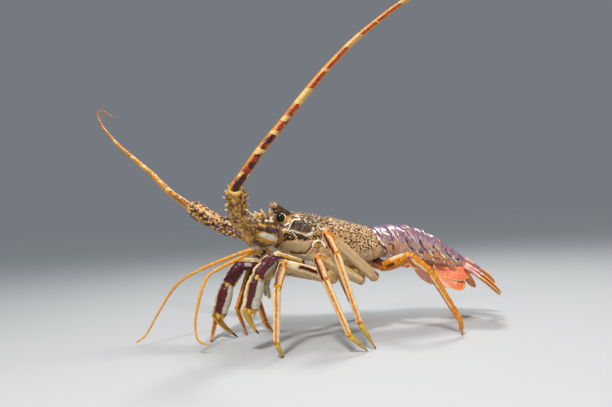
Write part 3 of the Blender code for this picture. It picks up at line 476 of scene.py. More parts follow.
# Growths on one ring grid, with how crowded and how tall they are on it, and where they lean
def grow(name, ground, normals, settings, crowd, tall=1.0, heading=(-1.0, 0.0, 0.0), lift=0.65):
    settings = {**growthDefaults, **settings}
    form = gridForm(ground, crowd=crowd, tall=tall)
    mesh = bpy.data.meshes.new(name + "Ground")
    mesh.from_pydata(((form["verts"] + originShift) * mm).tolist(), [], form["quads"].tolist())
    for mark in ("crowd", "tall"):
        storeMark(mesh, mark, form["masks"][mark])
    heading = np.broadcast_to(np.asarray(heading, float), normals.shape)
    flat = heading - normals * np.sum(heading * normals, axis=-1, keepdims=True)
    lean = unit(normals * lift + unit(flat) * (1 - lift ** 2) ** 0.5).reshape(-1, 3)
    lean = np.vstack([lean, np.tile((0.0, 0.0, 1.0), (len(form["verts"]) - len(lean), 1))])
    mesh.attributes.new("lean", "FLOAT_VECTOR", "POINT").data.foreach_set("vector", lean.reshape(-1))
    holder = addObject(name, mesh)
    grown = applyTree(holder, growTree, growSockets, {
        "Growth": growthShapes[settings["shape"]], "Surface": surfaces[settings["surface"]],
        "Spacing": settings["spacing"] * mm, "Length": settings["length"] * mm,
        "Most per area": settings["crowding"], "Seed": settings["seed"], "Least share": settings["least"]})
    grown.shade_smooth()
    adopt(holder)


# Back shell: stations (place along, top height, half width, bottom height, lean of the low edge)
shell = {
    "keys": [(-83, 171, 30, 130, -5), (-64, 173.5, 33, 113, -15), (-40, 170.5, 38.5, 102.5, -12),
             (-8, 165, 41.5, 94, -13), (22, 155.5, 40.5, 94.5, -2), (46, 148, 35, 102, 9)],
    "rows": 270, "sides": 330, "orbit": 8.6,
    "grooveAt": -19.0, "grooveSweep": -16.0, "grooveDepth": 3.6, "grooveWidth": 4.2,
    # ridges and grooves (height, width, path in the side view), the smooth lobe, and the drawn marks
    "relief": [(0.7, 1.3, [(-87, 151), (-77.4, 150.2), (-69.2, 148.4), (-57.4, 144.2), (-49.8, 143),
                           (-46.3, 144.5)]),
               (-1.4, 1.3, [(-84, 121.5), (-74.1, 120.7), (-66.5, 118.7), (-55.8, 117.8), (-51.1, 122.4),
                            (-45.7, 132)]),
               (0.9, 1.3, [(-46.1, 127.8), (-44.1, 132), (-39.9, 134), (-34.4, 133.6), (-31.5, 131.1),
                           (-30.4, 126.6)]),
               (0.6, 1.2, [(-66, 164.9), (-70.4, 161.1), (-74.2, 155.8), (-77.1, 151.5)]),
               (-0.7, 1.2, [(-55.7, 159), (-46.1, 155), (-39.1, 151.5), (-35, 146), (-33, 140)]),
               (0.6, 1.2, [(-71.5, 146.6), (-69, 142.9), (-63, 138)])],
    "lobe": [(-86, 134.5), (-62.5, 134.1), (-45.3, 133.9), (-48.4, 127.4), (-53.8, 121.2), (-58.9, 119.4),
             (-69.1, 120.1), (-84.2, 123)],
    "drawing": {
        "areas": [
            ("dark", 1.3, 0.85, [(-71.2, 161.1), (-65.8, 164.2), (-58.7, 162.5), (-54, 158.8), (-48, 155.1),
             (-45, 150.9), (-46, 146.9), (-52.4, 144.6), (-56.8, 146.8), (-63.9, 148.8), (-72.8, 151.3)]),
            ("dark", 0.8, 1, [(-71.8, 159.7), (-67, 163.2), (-63.9, 162.6), (-65.7, 158.1), (-69.3, 153.9),
             (-72.8, 151.4), (-74, 153.8)]),
            ("dark", 1, 1, [(-84.8, 147.5), (-78.1, 147.7), (-74.2, 144.4), (-69.9, 141.1), (-68.9, 136.5),
             (-75.4, 135.3), (-85, 136)]),
            ("dark", 1, 0.95, [(-76.3, 148.6), (-65.5, 145.7), (-56.6, 142.5), (-50.9, 139.4), (-46.6, 135.8),
             (-55.9, 134.9), (-63.7, 136.8), (-69.9, 141.5)]),
            ("dark", 0.9, 0.95, [(-45.9, 142.2), (-38.7, 146.5), (-37, 141), (-40.6, 134.8), (-45.7, 136.2)]),
            ("wash", 1.2, 1, [(-85.5, 135), (-75.5, 134.2), (-62.5, 134.1), (-52, 133.2), (-45.3, 133.9),
             (-48.4, 127.4), (-53.8, 121.2), (-58.9, 119.4), (-69.1, 120.1), (-78, 122.5), (-84.2, 126.1)]),
            ("wash", 2, 0.55, [(-77.7, 120.4), (-67.5, 116.8), (-54.8, 115.6), (-47.2, 122.2), (-44.5, 124.2),
             (-32.1, 123.2), (-21.6, 109.9), (-18.9, 98.2), (-35.4, 98.9), (-61, 109)]),
            ("warm", 1.3, 0.8, [(-93.5, 172.2), (-86.1, 164.3), (-84.4, 160.5), (-76.5, 160.7), (-70, 165.9),
             (-69.6, 171.5), (-73.7, 174.4)]),
            ("warm", 0.8, 0.6, [(-42.9, 129.5), (-37.7, 131.2), (-32.6, 128.6), (-33.3, 126.5),
             (-43, 126.8)]),
            ("speck", 1, 1, [(-84.9, 146.3), (-77.2, 145.9), (-71.3, 138.9), (-45.2, 135.8), (-44.8, 130.8),
             (-83.1, 133.8)]),
            ("speck", 1, 1, [(-45.9, 142.2), (-38.5, 146.5), (-37, 141), (-40.6, 134.6), (-45.9, 134.9)]),
            ("speck", 1, 1, [(-42.9, 129.5), (-37.7, 131.2), (-32.6, 128.6), (-33.3, 126.5), (-43, 126.8)]),
            ("violet", 1, 0.7, [(-84.6, 156.4), (-79.3, 155.8), (-79.2, 152.1), (-84.9, 152.4)]),
        ],
        "lines": [
            ("dark", 1.2, 1, [(-55.7, 157.8), (-50.9, 157.6), (-46.1, 154.1)]),
            ("dark", 1.2, 1, [(-42.9, 154.7), (-39.1, 151.5)]),
            # this dash and the four below are painted shadows that big thorns cast on the back
            ("dark", 1.2, 0.9, [(-45.7, 165.9), (-41.8, 163.7)]),
            ("dark", 1, 0.9, [(-35.6, 162.7), (-31.7, 161.2)]),
            ("dark", 1.2, 1, [(-21.7, 156.4), (-17.1, 154.5)]),
            ("dark", 1, 0.8, [(-11.8, 146.5), (-6.2, 144)]),
            ("dark", 1, 0.8, [(0.8, 145.6), (6.9, 142.8)]),
            ("dark", 0.9, 0.8, [(-58.2, 166.8), (-55.7, 163.6)]),
            ("dark", 1, 1, [(-74.1, 120.7), (-66.5, 118.7), (-55.8, 117.8), (-51.1, 122.4), (-48, 127.2),
             (-45.7, 132)]),
            ("dark", 0.8, 0.9, [(-44.8, 125.7), (-38.7, 124.9), (-32.8, 125.6)]),
            ("warm", 1.7, 1, [(-82.5, 149.3), (-78.5, 148.8)]),
            ("warm", 0.9, 0.8, [(-68.1, 139.2), (-63, 136.6)]),
            ("pale", 1, 1, [(-58.3, 164), (-62.4, 164.2), (-66, 164.9), (-70.4, 161.1), (-74.2, 155.8),
             (-77.1, 151.5)]),
            ("pale", 1.2, 1, [(-87, 151.1), (-82.5, 151), (-77.4, 150.2), (-69.2, 148.4), (-62.1, 146),
             (-57.4, 144.2), (-53.9, 142.3)]),
            ("pale", 2, 0.9, [(-53.9, 142.3), (-49.8, 143), (-46.3, 144.5)]),
            ("pale", 0.9, 0.9, [(-71.5, 146.6), (-69, 142.9), (-66.6, 140.1)]),
            ("pale", 1.2, 0.9, [(-84.7, 149.7), (-85.6, 139.7)]),
            ("pale", 1.4, 1, [(-46.1, 127.8), (-44.1, 132), (-39.9, 134), (-34.4, 133.6), (-31.5, 131.1),
             (-30.4, 126.6)]),
            ("pale", 1.4, 1, [(-85.2, 159.3), (-80.2, 157.9), (-74.7, 159.9)]),
            ("pale", 2, 0.9, [(-42.3, 151.2), (-42.9, 150.1)]),
            ("pale", 0.9, 0.9, [(-35.8, 156.8), (-33.9, 149.6), (-31.5, 147.5)]),
            ("pale", 2.1, 1, [(-31.3, 148.7), (-26.8, 149)]),
            ("pale", 0.8, 0.8, [(-52.5, 164.3), (-51.1, 158.4)]),
            ("pale", 0.9, 0.8, [(-47.8, 161.2), (-43.7, 157.9)]),
            ("pale", 0.9, 0.8, [(-60.8, 168.9), (-58.4, 163.9)]),
        ],
    },
    "knobs": 1500, "seed": 4,
    "backThorns": {"spacing": 4.6, "length": 5.2, "crowding": 26000.0, "least": 0.55, "seed": 5},
    "sideThorns": {"spacing": 3.4, "length": 1.5, "crowding": 60000.0, "least": 0.5, "seed": 8},
}


def shellSection(angle, half, up, down):
    across, high = np.sin(angle), np.cos(angle)
    y = np.where(high >= 0, half * bent(across, 0.9), half * bent(across, 0.7))
    z = np.where(high >= 0, up * bent(high, 0.95), down * bent(high, 0.8))
    return y, z


def shellPoint(x, angle, settings):
    top, half, bottom, lean = readKeys(settings["keys"], x)
    turn = np.abs((angle + math.pi) % (2 * math.pi) - math.pi) / math.pi
    dip = hill(x - settings["grooveAt"] - settings["grooveSweep"] * turn, settings["grooveWidth"])
    dip = dip * settings["grooveDepth"] * rise(turn, 0.66, 0.58)
    middle = bottom + 0.42 * (top - bottom)
    y, z = shellSection(angle, half - dip, top - middle - dip, middle - bottom)
    return np.stack((x + lean * (top - middle - z) / (top - bottom), y, middle + z), axis=-1)


def makeShell():
    rng = np.random.default_rng(shell["seed"])
    xs = np.linspace(shell["keys"][0][0], shell["keys"][-1][0], shell["rows"])
    spread = np.linspace(-1, 1, shell["sides"], endpoint=False)
    turns = math.pi * (0.78 * spread + 0.22 * spread ** 5)  # finest on the back
    x, angle = np.meshgrid(xs, turns, indexing="ij")
    grid = shellPoint(x, angle, shell)
    normals = gridNormals(grid)
    mirrored = grid * (1, 0, 1) + np.abs(grid) * (0, 1, 0)
    fromTop = np.abs(angle)
    share = (x - xs[0]) / (xs[-1] - xs[0])
    lobe = areaShare(grid, shell["lobe"], 2.5)
    height = sum(tall * hill(sideDistance(grid, path), wide) for tall, wide, path in shell["relief"])
    height = height * rise(fromTop, 0.35, 0.6) * rise(fromTop, 2.3, 2.0)
    height += 0.9 * lobe + 0.35 * softNoise(grid, 7.0, 2)
    height += 0.55 * hill(xs[-1] - 5 - x, 1.4) - 0.55 * hill(xs[-1] - 8.5 - x, 1.6)  # rear rim
    # low knobs all over, crowded and strong on the back, fine and flat below
    seedAngle = rng.uniform(-2.2, 2.2, shell["knobs"])
    seedX = rng.uniform(xs[0], xs[-1], shell["knobs"])
    seeds = shellPoint(seedX, seedAngle % (2 * math.pi), shell)
    strength = np.where(np.abs(seedAngle) < 1.25, 1.0, 0.35) * rng.uniform(0.5, 1.1, len(seeds))
    reach = rng.uniform(1.1, 1.9, len(seeds))
    flat = grid.reshape(-1, 3)
    knobs = np.zeros(len(flat))
    order = np.argsort(flat[:, 0])
    sortedX = flat[order, 0]
    for place, much, wide in zip(seeds, strength, reach):
        near = order[np.searchsorted(sortedX, place[0] - 4):np.searchsorted(sortedX, place[0] + 4)]
        distance = np.linalg.norm(flat[near] - place, axis=1)
        knobs[near] = np.maximum(knobs[near], much * np.exp(-(distance / wide) ** 2))
    knobs = knobs.reshape(x.shape)
    quiet = 1 - 0.8 * lobe - 0.6 * rise(fromTop, 1.3, 1.7) * rise(share, 0.4, 0.6)
    height += 0.75 * knobs * quiet
    orbit = np.linalg.norm(mirrored - eyePlace, axis=-1)
    grid = grid + normals * height[..., None]
    push = np.clip(shell["orbit"] - orbit, 0, None)
    away = unit(mirrored - eyePlace)
    away[..., 1] *= np.sign(grid[..., 1])
    grid = grid + away * push[..., None]
    # marks: the drawn ones on both flanks, dark mottling to the front, dots to the rear
    flank = rise(fromTop, 0.15, 0.3) * rise(fromTop, 2.5, 2.2)
    marks = drawMarks(grid, shell["drawing"], flank)
    upper = rise(fromTop, 1.45, 1.1)
    front = rise(x, -22, -44)
    blotch = softNoise(grid, 4.2, 9)
    drawn = np.clip(marks["dark"] + marks["pale"] + lobe, 0, 1)
    mottled = rise(blotch + 0.4 * front, 0.0, 0.35) * (0.3 + 0.7 * front)
    addMark(marks, "dark", (1 - drawn) * upper * mottled)
    addMark(marks, "speck", 0.9 * front * upper * rise(blotch, -0.2, 0.1) * (1 - drawn))
    addMark(marks, "warm", 0.7 * rise(knobs, 0.6, 0.9) * upper * rise(softNoise(grid, 6.0, 4), 0.0, 0.5))
    streaks = rise(np.sin(x * 3.1 + 2.0 * softNoise(grid, 5.0, 6)), 0.35, 0.9) * lobe
    addMark(marks, "pale", 0.45 * streaks * rise(softNoise(grid, 2.0, 7), -0.5, 0.1))
    addMark(marks, "pale", 0.6 * rise(grid[..., 2], 121, 114) * rise(x, -8, -26))
    addMark(marks, "pale", 0.42 * rise(grid[..., 2], 130, 106) * rise(x, -40, -10))
    fleck = np.clip(rise(fromTop, 1.95, 1.35) * (1 - 0.5 * front) + 0.35 * rise(fromTop, 2.3, 1.7), 0, 1)
    form = gridForm(grid, fleck=fleck * (1 - drawn), **marks)
    makePiece("back_shell", form, surfaces["shell"], ["carapace"])
    clearOfEye = rise(orbit, shell["orbit"] + 1, shell["orbit"] + 4)
    crowd = rise(fromTop, 1.45, 1.1) * clearOfEye * rise(share, 1.0, 0.93) * (1 - 0.8 * marks["pale"])
    tall = (1.0 - 0.62 * rise(share, 0.0, 0.8)) * (0.7 + 0.3 * hill(fromTop - 0.5, 0.5))
    grow("back_thorns", grid, normals, shell["backThorns"], crowd, tall, lift=0.62)
    lower = rise(fromTop, 1.1, 1.35) * rise(fromTop, 2.1, 1.8) * clearOfEye * (1 - lobe)
    grow("side_thorns", grid, normals, shell["sideThorns"], lower,
         1.0 - 0.3 * share, lift=0.5)


makeShell()
print("back shell ready")


# A tapering plate along a path, with its share along and its places across and through
def bladeGrid(path, widthAt, thickAt, facing, rows=40, sides=28, blunt=(0.8, 0.6)):
    pts = smoothPath(path, rows)
    ways = unit(np.gradient(pts, axis=0))
    side = unit(np.cross(np.broadcast_to(np.asarray(facing, float), ways.shape), ways))
    face = np.cross(ways, side)
    t = np.linspace(0, 1, rows)[:, None]
    turn = (2 * math.pi * (np.arange(sides) + 0.5) / sides)[None, :]
    across = widthAt(t) * bent(np.cos(turn), blunt[0])
    through = thickAt(t) * bent(np.sin(turn), blunt[1])
    grid = pts[:, None] + side[:, None] * across[..., None] + face[:, None] * through[..., None]
    return grid, t + 0 * turn, np.cos(turn) + 0 * t, np.sin(turn) + 0 * t


def tubeGrid(points, radii, rows, sides=20, hint=(0.0, 0.0, 1.0)):  # a round limb along a path
    pts = smoothPath(points, rows)
    ways = unit(np.gradient(pts, axis=0))
    up = unit(np.asarray(hint) - ways * np.sum(ways * hint, axis=1, keepdims=True))
    out = np.cross(ways, up)
    radius = np.interp(np.linspace(0, 1, rows), np.linspace(0, 1, len(radii)), radii)[:, None, None]
    turn = circle(sides)[None, :, None]
    return pts[:, None] + (up[:, None] * np.cos(turn) + out[:, None] * np.sin(turn)) * radius


def thornForm(root, tip, radius, rows=14, sides=12):  # one big thorn with a pale tip
    t = np.linspace(0, 1, rows)
    grid = tubeGrid([root, (root + tip) / 2, tip], radius * ((1 - t) ** 0.85 + 0.35 * np.exp(-t * 7)) + 0.06,
                    rows, sides, hint=(0.21, 0.37, 0.9))
    t = t[:, None]
    # the dark band low on the thorn is partly its own dark base and partly painted shade at its root
    return gridForm(grid, pale=rise(t, 0.66, 0.86), warm=0.9 * rise(t, 0.45, 0.7),
                    dark=0.8 * hill(t - 0.3, 0.2))


# Horns over the eyes, with teeth on the front edge as (share along, length)
horn = {
    "path": [(-69.5, 11.5, 163.5), (-76.6, 12.3, 171.6), (-83.8, 13, 179.7), (-92, 13.4, 190)],
    "width": 9.4, "thick": 3.8, "facing": (0.1, 1.0, 0.45),
    "teeth": [(0.3, 3.4), (0.46, 3.8), (0.62, 3.6), (0.78, 3.0)],
}


def makeHorns():
    for side, sign in bothSides:
        flip = np.array((1, sign, 1))
        path = [np.array(p) * flip for p in horn["path"]]
        facing = np.array(horn["facing"]) * (1, 1, sign)
        grid, t, across, _ = bladeGrid(path, lambda t: horn["width"] * (1 - t) ** 0.8 + 0.25,
                                       lambda t: horn["thick"] * (1 - t) ** 0.9 + 0.25, facing, 60, 36)
        grid = grid + 0.5 * softNoise(grid, 3.0, 4)[..., None] * gridNormals(grid) * (1 - t)[..., None]
        front = across * np.sign((grid[10, 0] - grid[10, 18])[0] * -1)
        edge = rise(np.abs(across), 0.8, 0.97)
        blotch = rise(softNoise(grid, 3.0, 8), 0.15, 0.5)
        dark = 0.92 * rise(t, 0.86, 0.78) * (1 - 0.5 * blotch * rise(t, 0.3, 0.1))
        forms = [gridForm(grid, pale=0.8 * hill(t - 0.93, 0.03) * rise(front, -0.2, 0.4),
                          warm=np.maximum(rise(t, 0.82, 0.9), 0.9 * edge * rise(front, 0.2, 0.6) * blotch),
                          dark=np.maximum(dark, 0.3 * edge))]
        pts = smoothPath(path, 40)
        for share, length in horn["teeth"]:
            i = int(share * (len(pts) - 1))
            way = unit(pts[i + 1] - pts[i])
            out = unit(np.cross(facing, way))
            out = out if out[0] < 0 else -out
            rim = pts[i] + out * horn["width"] * (1 - share) ** 0.8
            forms.append(thornForm(rim - out * 2.2, rim + unit(out + way * 0.8) * length, 1.5))
        makePiece("horn_" + side, forms, surfaces["shell"])


# Eye: black ball with a yellow rim, on a pale stalk that leaves the shell under the horn
eye = {
    "radius": 6.2, "stalk": (9.0, -16.0, -7.0), "sides": 48,
    "black": (0.004, 0.004, 0.006), "facet": (0.018, 0.014, 0.016), "facetsPerMetre": 2600.0,
    # stalk outline as (distance short of the eye's middle, radius)
    "rings": [(9, 3.4), (6.5, 4.4), (5, 6.0), (3.4, 7.1), (2.2, 7.35), (1.2, 7.0), (0.9, 5.8)],
}


def eyeMaterial():
    made = bpy.data.materials.new("Eye")
    made.use_nodes = True
    tree = made.node_tree
    shader = tree.nodes["Principled BSDF"]
    place = addNode(tree, "ShaderNodeTexCoord").outputs["Object"]
    net = texture(tree, "Voronoi", place, eye["facetsPerMetre"])["Distance"]
    facets = fitRange(tree, net, 0.2, 0.6, 0.0, 0.6)
    tree.links.new(mixColour(tree, facets, eye["black"], eye["facet"]), shader.inputs["Base Color"])
    setInputs(shader, {"Roughness": 0.16, "Specular IOR Level": 0.2, "Coat Weight": 0.05,
                       "Coat Roughness": 0.04})
    return made


def makeEyes():
    surfaces["eye"] = eyeMaterial()
    turn = circle(eye["sides"])[None, :, None]
    for side, sign in bothSides:
        centre = np.array(eyePlace) * (1, sign, 1)
        root = centre + np.array(eye["stalk"]) * (1, sign, 1)
        way = unit(centre - root)
        reach = float(np.linalg.norm(centre - root))
        up = unit(np.cross(way, (0.3, 0.2, 1.0)))
        out = np.cross(way, up)

        def lathe(stops):
            stops = np.array(stops, float)
            spot = root + way * stops[:, :1]
            return spot[:, None] + (up * np.cos(turn) + out * np.sin(turn)) * stops[:, 1][:, None, None]

        angles = math.pi * np.linspace(0.3, 0.995, 40)
        ball = [(reach - eye["radius"] * math.cos(a), eye["radius"] * math.sin(a)) for a in angles]
        makePiece("eye_%s_ball" % side, gridForm(lathe(ball)), surfaces["eye"], ["eye_" + side])
        outline = [(0, 3.2, 0)] + [(reach - short, radius, 0) for short, radius in eye["rings"]]
        run = np.linspace(0, 1, 40)[:, None]
        grid = lathe(smoothPath(outline, 40)[:, :2])
        form = gridForm(grid, warm=rise(run, 0.72, 0.84), pale=0.7 * hill(run - 0.6, 0.12))
        makePiece("eye_%s_stalk" % side, form, surfaces["stalk"])


# Thick antenna lengths: joints from the head out, radii along each, and the thorns' length and spacing
antenna = {
    "joints": {"left": [(-83, -18, 142), (-126, -42, 156), (-149, -77, 171), (-154, -113, 203)],
               "right": [(-83, 18, 142), (-124, 44, 150), (-157, 72, 163), (-199, 98, 192)]},
    "radii": {"base": [8.0, 14.0, 21.5, 19.5, 12.8], "fourth": [12.0, 12.4, 12.6, 12.8, 11.5],
              "fifth": [10.8, 11.2, 12.0, 12.2, 8.2]},
    "thornLength": {"base": 8.0, "fourth": 5.6, "fifth": 5.8},
    "thornSpacing": {"base": 5.4, "fourth": 6.0, "fifth": 5.0}, "clearOfEye": 7.4,
    "baseDrawing": {
        "areas": [
            ("dark", 1.3, 0.9, [(-128.9, 157.3), (-121, 157.5), (-105, 156), (-96.8, 154.3), (-95.7, 147.7),
             (-105.5, 147.7), (-115.8, 150.8), (-125, 151.9)]),
            ("dark", 1, 0.85, [(-132.9, 188.3), (-113.7, 184.9), (-111.5, 175.8), (-113.6, 168.2),
             (-103.6, 165.1), (-92.2, 162.6), (-91.8, 156.7), (-115, 159.8), (-121.4, 164.7),
             (-127.2, 173.9)]),
            ("dark", 1, 0.9, [(-125.7, 142.3), (-119.5, 136.1), (-107.3, 130.8), (-94.7, 129.9),
             (-95.7, 125.7), (-116.6, 125.8), (-129.2, 133)]),
            ("warm", 1.3, 0.7, [(-143.5, 156.8), (-122.9, 150.5), (-124.5, 141.6), (-117.9, 134.1),
             (-104.1, 128.5), (-129.4, 129.1), (-146.6, 144.2)]),
            ("warm", 0.9, 0.9, [(-123.2, 147.4), (-113.5, 148.4), (-94.9, 138.6), (-95.3, 132.9),
             (-107.8, 134.6), (-119, 139)]),
            ("pale", 1, 1, [(-120.8, 148.9), (-112.3, 148.7), (-102.9, 146.2), (-95.9, 142.6), (-94.8, 136.6),
             (-102.7, 137.4), (-112.2, 141.6), (-118.5, 144.7)]),
            ("violet", 1, 1, [(-105.1, 155.4), (-95.3, 154.2), (-91, 150.1), (-90.7, 140.9), (-93.1, 140.4),
             (-95.4, 147.7), (-104.7, 149.6)]),
            ("violet", 1.2, 0.8, [(-113.3, 178.4), (-108.8, 177.6), (-99.9, 172.6), (-94.2, 168.8),
             (-101.7, 168.1), (-107.5, 172.1)]),
            ("violet", 1.2, 0.6, [(-128.7, 158.6), (-121.7, 161.4), (-115.1, 159.1), (-118, 154.8),
             (-128.1, 154.3)]),
        ],
        "lines": [
            ("dark", 0.8, 0.9, [(-125.8, 149.4), (-125.1, 142.3), (-119.5, 137.1), (-108.9, 132.9),
             (-97.7, 130.8)]),
            ("pale", 1, 1, [(-95.4, 147.1), (-94.8, 134.6)]),
            ("warm", 1.2, 1, [(-118.2, 158.4), (-110.2, 158.7), (-102.6, 158.6)]),
            # this pale line is a painted highlight
            ("pale", 1.6, 0.9, [(-109.4, 164.5), (-104.4, 164.8), (-100.6, 163)]),
            ("pale", 1, 0.9, [(-102.6, 168.2), (-97.6, 167.8)]),
            ("pale", 1.3, 0.9, [(-122.3, 178.8), (-121.4, 175.6)]),
            ("pale", 1.3, 0.9, [(-117.2, 180.4), (-116.1, 176)]),
            ("pale", 1.3, 0.9, [(-114.9, 171.6), (-112.6, 170.8)]),
        ],
    },
    "fourthDrawing": {
        "areas": [
            ("dark", 1, 0.7, [(-151, 179.4), (-145, 180.3), (-144, 174.6), (-148, 170.5), (-151.2, 173.2)]),
            # this pale patch is a painted highlight
            ("pale", 1, 0.5, [(-144.6, 174.6), (-140.7, 172.5), (-142.7, 166.4), (-146.7, 166.7)]),
            ("violet", 1, 0.35, [(-133.6, 160.6), (-124.1, 161.3), (-116.6, 159.2), (-119.4, 154.2),
             (-131.7, 154.3)]),
            ("wash", 2.5, 0.9, [(-146, 177), (-131, 181), (-119, 167), (-116, 155), (-138, 156)]),
        ],
        "lines": [
            ("pale", 2.1, 0.9, [(-137.6, 183), (-133.9, 176.8), (-127.5, 171.1), (-120.6, 166.1)]),
            ("violet", 1, 0.5, [(-137.6, 183), (-133.9, 176.8)]),
            ("pale", 1.6, 0.6, [(-144, 172), (-138, 168), (-131, 168.5), (-126, 164)]),
            ("dark", 1, 0.7, [(-138.1, 163.2), (-130.7, 161.7), (-124, 162.7)]),
            ("dark", 0.8, 0.6, [(-141, 176), (-134, 170.5), (-127, 167)]),
        ],
    },
}


def domeShare(reach, size):  # how much of its radius a length has left near its round end
    return np.sqrt(np.clip(1 - (np.maximum(size - reach, 0) / size) ** 2, 0.02, 1))


def pedunclePart(side, number):  # ring grid of one length, and its share along and turn from the top
    joints = np.array(antenna["joints"][side], float)
    name = list(antenna["radii"])[number]
    start, end = joints[number], joints[number + 1]
    way = unit(end - start)
    span = float(np.linalg.norm(end - start))
    rows, cols = (130, 170) if number == 0 else (100, 120)
    before, past = 0.0 if number == 0 else 3.0, 2.5  # how far it passes its joints
    run = np.linspace(-before, span + past, rows)
    radius = np.interp(run / span, [0, 0.25, 0.55, 0.82, 1.0], antenna["radii"][name])
    radius = np.convolve(np.pad(radius, 6, mode="edge"), np.ones(13) / 13, mode="valid")
    radius = radius * (1 + 0.045 * hill(run - span + 2.0, 1.6) - 0.05 * hill(run - span + 5.5, 1.8))
    dome = domeShare(span + past - run, 3.4)
    if number:
        dome = dome * domeShare(run + before, 4.0)
    up = unit(np.array((0, 0, 1.0)) - way * way[2])
    out = np.cross(way, up)
    turn = circle(cols)
    lobes = 1 + 0.03 * np.cos(3 * turn + number)
    ring = up * (1.06 * np.cos(turn) * lobes)[:, None] + out * (0.94 * np.sin(turn) * lobes)[:, None]
    grid = (start + way * run[:, None])[:, None] + ring[None] * (radius * dome)[:, None, None]
    share, turn = np.broadcast_arrays((run / span)[:, None], turn[None, :])
    return name, grid, share, turn, way


def makeAntennaBases():
    ovalOutline = antenna["baseDrawing"]["areas"][5][3]  # the pale oval, which bulges too
    for side, sign in bothSides:
        for number in range(3):
            name, grid, t, turn, way = pedunclePart(side, number)
            normals = gridNormals(grid)
            facing = np.cos(turn)
            relief = 0.35 * softNoise(grid, 4.0, number + 3)
            cream = rise(softNoise(grid, 3.4, 21), 0.1, 0.4)
            mottle = rise(softNoise(grid, 4.6, 12 + number), 0.1, 0.5)
            if name == "base":
                socket = np.array(eyePlace) * (1, sign, 1)
                grid = grid + normals * relief[..., None]
                apart = np.linalg.norm(grid - socket, axis=-1)
                grid = grid + unit(grid - socket) * np.clip(antenna["clearOfEye"] - apart, 0, None)[..., None]
                outward = rise(normals[..., 1] * sign, -0.1, 0.25)
                marks = drawMarks(grid, antenna["baseDrawing"], outward)
                oval = areaShare(grid, ovalOutline, 2.0) * outward
                hollow = 0.7 * marks["dark"] * rise(grid[..., 2], 150, 140)
                grid = grid + normals * (0.9 * oval - hollow)[..., None]
                addMark(marks, "dark", 0.7 * mottle * rise(facing, -0.3, 0.3) * (1 - marks["pale"]))
                inward = rise(normals[..., 1] * sign, 0.1, -0.3)
                addMark(marks, "dark", 0.6 * inward * rise(facing, -0.2, 0.2))
                addMark(marks, "warm", 0.8 * rise(t, 0.93, 1.0))
                addMark(marks, "pale", 0.8 * cream * rise(facing, 0.3, 0.7) * rise(t, 0.25, 0.5))
                crowd = rise(facing, 0.15, 0.45) * rise(apart, 9, 13) * rise(t, 0.25, 0.4)
                crowd = crowd * rise(t, 1.0, 0.95) * (1 - 0.9 * marks["violet"])
                tall = 0.55 + 0.65 * rise(facing, 0.4, 0.8) * rise(t, 0.3, 0.6)
            else:
                grid = grid + normals * relief[..., None]
                rim = rise(t, 0.985, 1.01) if name == "fourth" else rise(t, 0.965, 0.99)
                marks = {"dark": 0.95 * mottle * (1 - rim), "pale": 0.35 * rim,
                         "warm": np.maximum(0.7 * cream, 0.8 * rim)}
                fold = np.cos(5 * turn + 1.6 * softNoise(grid, 7.0, 71)) * rise(t, 0.05, 0.25) * (1 - rim)
                grid = grid - normals * (0.7 * rise(fold, 0.3, 0.95))[..., None]
                # the furrows get painted shade and the ridges between them a painted highlight
                addMark(marks, "dark", 0.6 * rise(fold, 0.5, 0.9))
                addMark(marks, "pale", 0.25 * rise(-fold, 0.6, 0.95) * cream)
                if name == "fourth" and side == "left":
                    outward = rise(normals[..., 1] * sign, -0.2, 0.2)
                    drawn = drawMarks(grid, antenna["fourthDrawing"], outward)
                    marks["dark"] = marks["dark"] * (1 - drawn["pale"]) * 0.7
                    marks = joinMarks(marks, drawn)
                    grid = grid + normals * (1.1 * drawn["pale"])[..., None]
                elif side == "right":
                    seen = rise(-normals[..., 1], 0.2, 0.7)
                    cloud = softNoise(grid, 5.0, 44)
                    addMark(marks, "warm", 0.9 * seen * rise(facing, -0.45, -0.7))
                    addMark(marks, "violet", 0.9 * hill(facing + 0.1, 0.5) * seen * rise(cloud, 0.1, 0.35))
                    addMark(marks, "wash", 0.8 * seen * rise(softNoise(grid, 3.4, 61), 0.0, 0.3))
                    addMark(marks, "pale", 0.8 * hill(facing - 0.55, 0.2) * seen * rise(cloud, 0.2, -0.1))
                    addMark(marks, "dark", 0.9 * seen * rise(cloud, -0.1, -0.35) * rise(facing, -0.5, -0.2))
                flank = np.abs(np.sin(turn))
                crowd = (0.25 + 0.75 * rise(flank, 0.6, 0.9)) * rise(t, 0.12, 0.22) * rise(t, 0.95, 0.88)
                tall = 0.55 + 0.45 * flank
            node = "antenna_%s_%s" % (name, side)
            form = gridForm(grid, fleck=0.2 * rise(facing, -0.1, 0.5), **marks)
            makePiece(node + "_shell", form, surfaces["peduncle"], [node])
            thorns = {"spacing": antenna["thornSpacing"][name], "length": antenna["thornLength"][name],
                      "seed": 3 + number, "shape": "stout", "crowding": 30000.0}
            grow(node + "_thorns", grid, normals, thorns, crowd, tall,
                 heading=way, lift=0.8)


makeHorns()
makeEyes()
makeAntennaBases()
print("horns, eyes and antenna bases ready")


# Underside: stations (place along, half width, top, bottom), and the path of a mouth leg
under = {
    "sternum": [(-62, 10, 104, 97), (-40, 15, 106, 89), (0, 19, 98, 84), (30, 22, 99, 86), (54, 22, 106, 95)],
    "head": [(-122, 10, 138, 118), (-112, 15, 147, 112), (-98, 20, 160, 110), (-83.3, 22, 166, 112),
             (-76, 22, 166, 112)],
    "mouthLeg": [(-54, 9, 96), (-78, 12, 93), (-98, 14, 92), (-106, 14.5, 80), (-104, 14, 59)],
    "mouthLegSteps": 60, "mouthLegJoints": ((0, 24), (22, 42), (40, 60)), "plateLength": 23.2,
    "thorns": {"spacing": 5.5, "length": 6.0, "seed": 6, "crowding": 30000.0},
    "bristles": {"spacing": 0.75, "length": 4.0, "shape": "bristle", "surface": "bristle",
                 "crowding": 900000.0, "seed": 2},
}


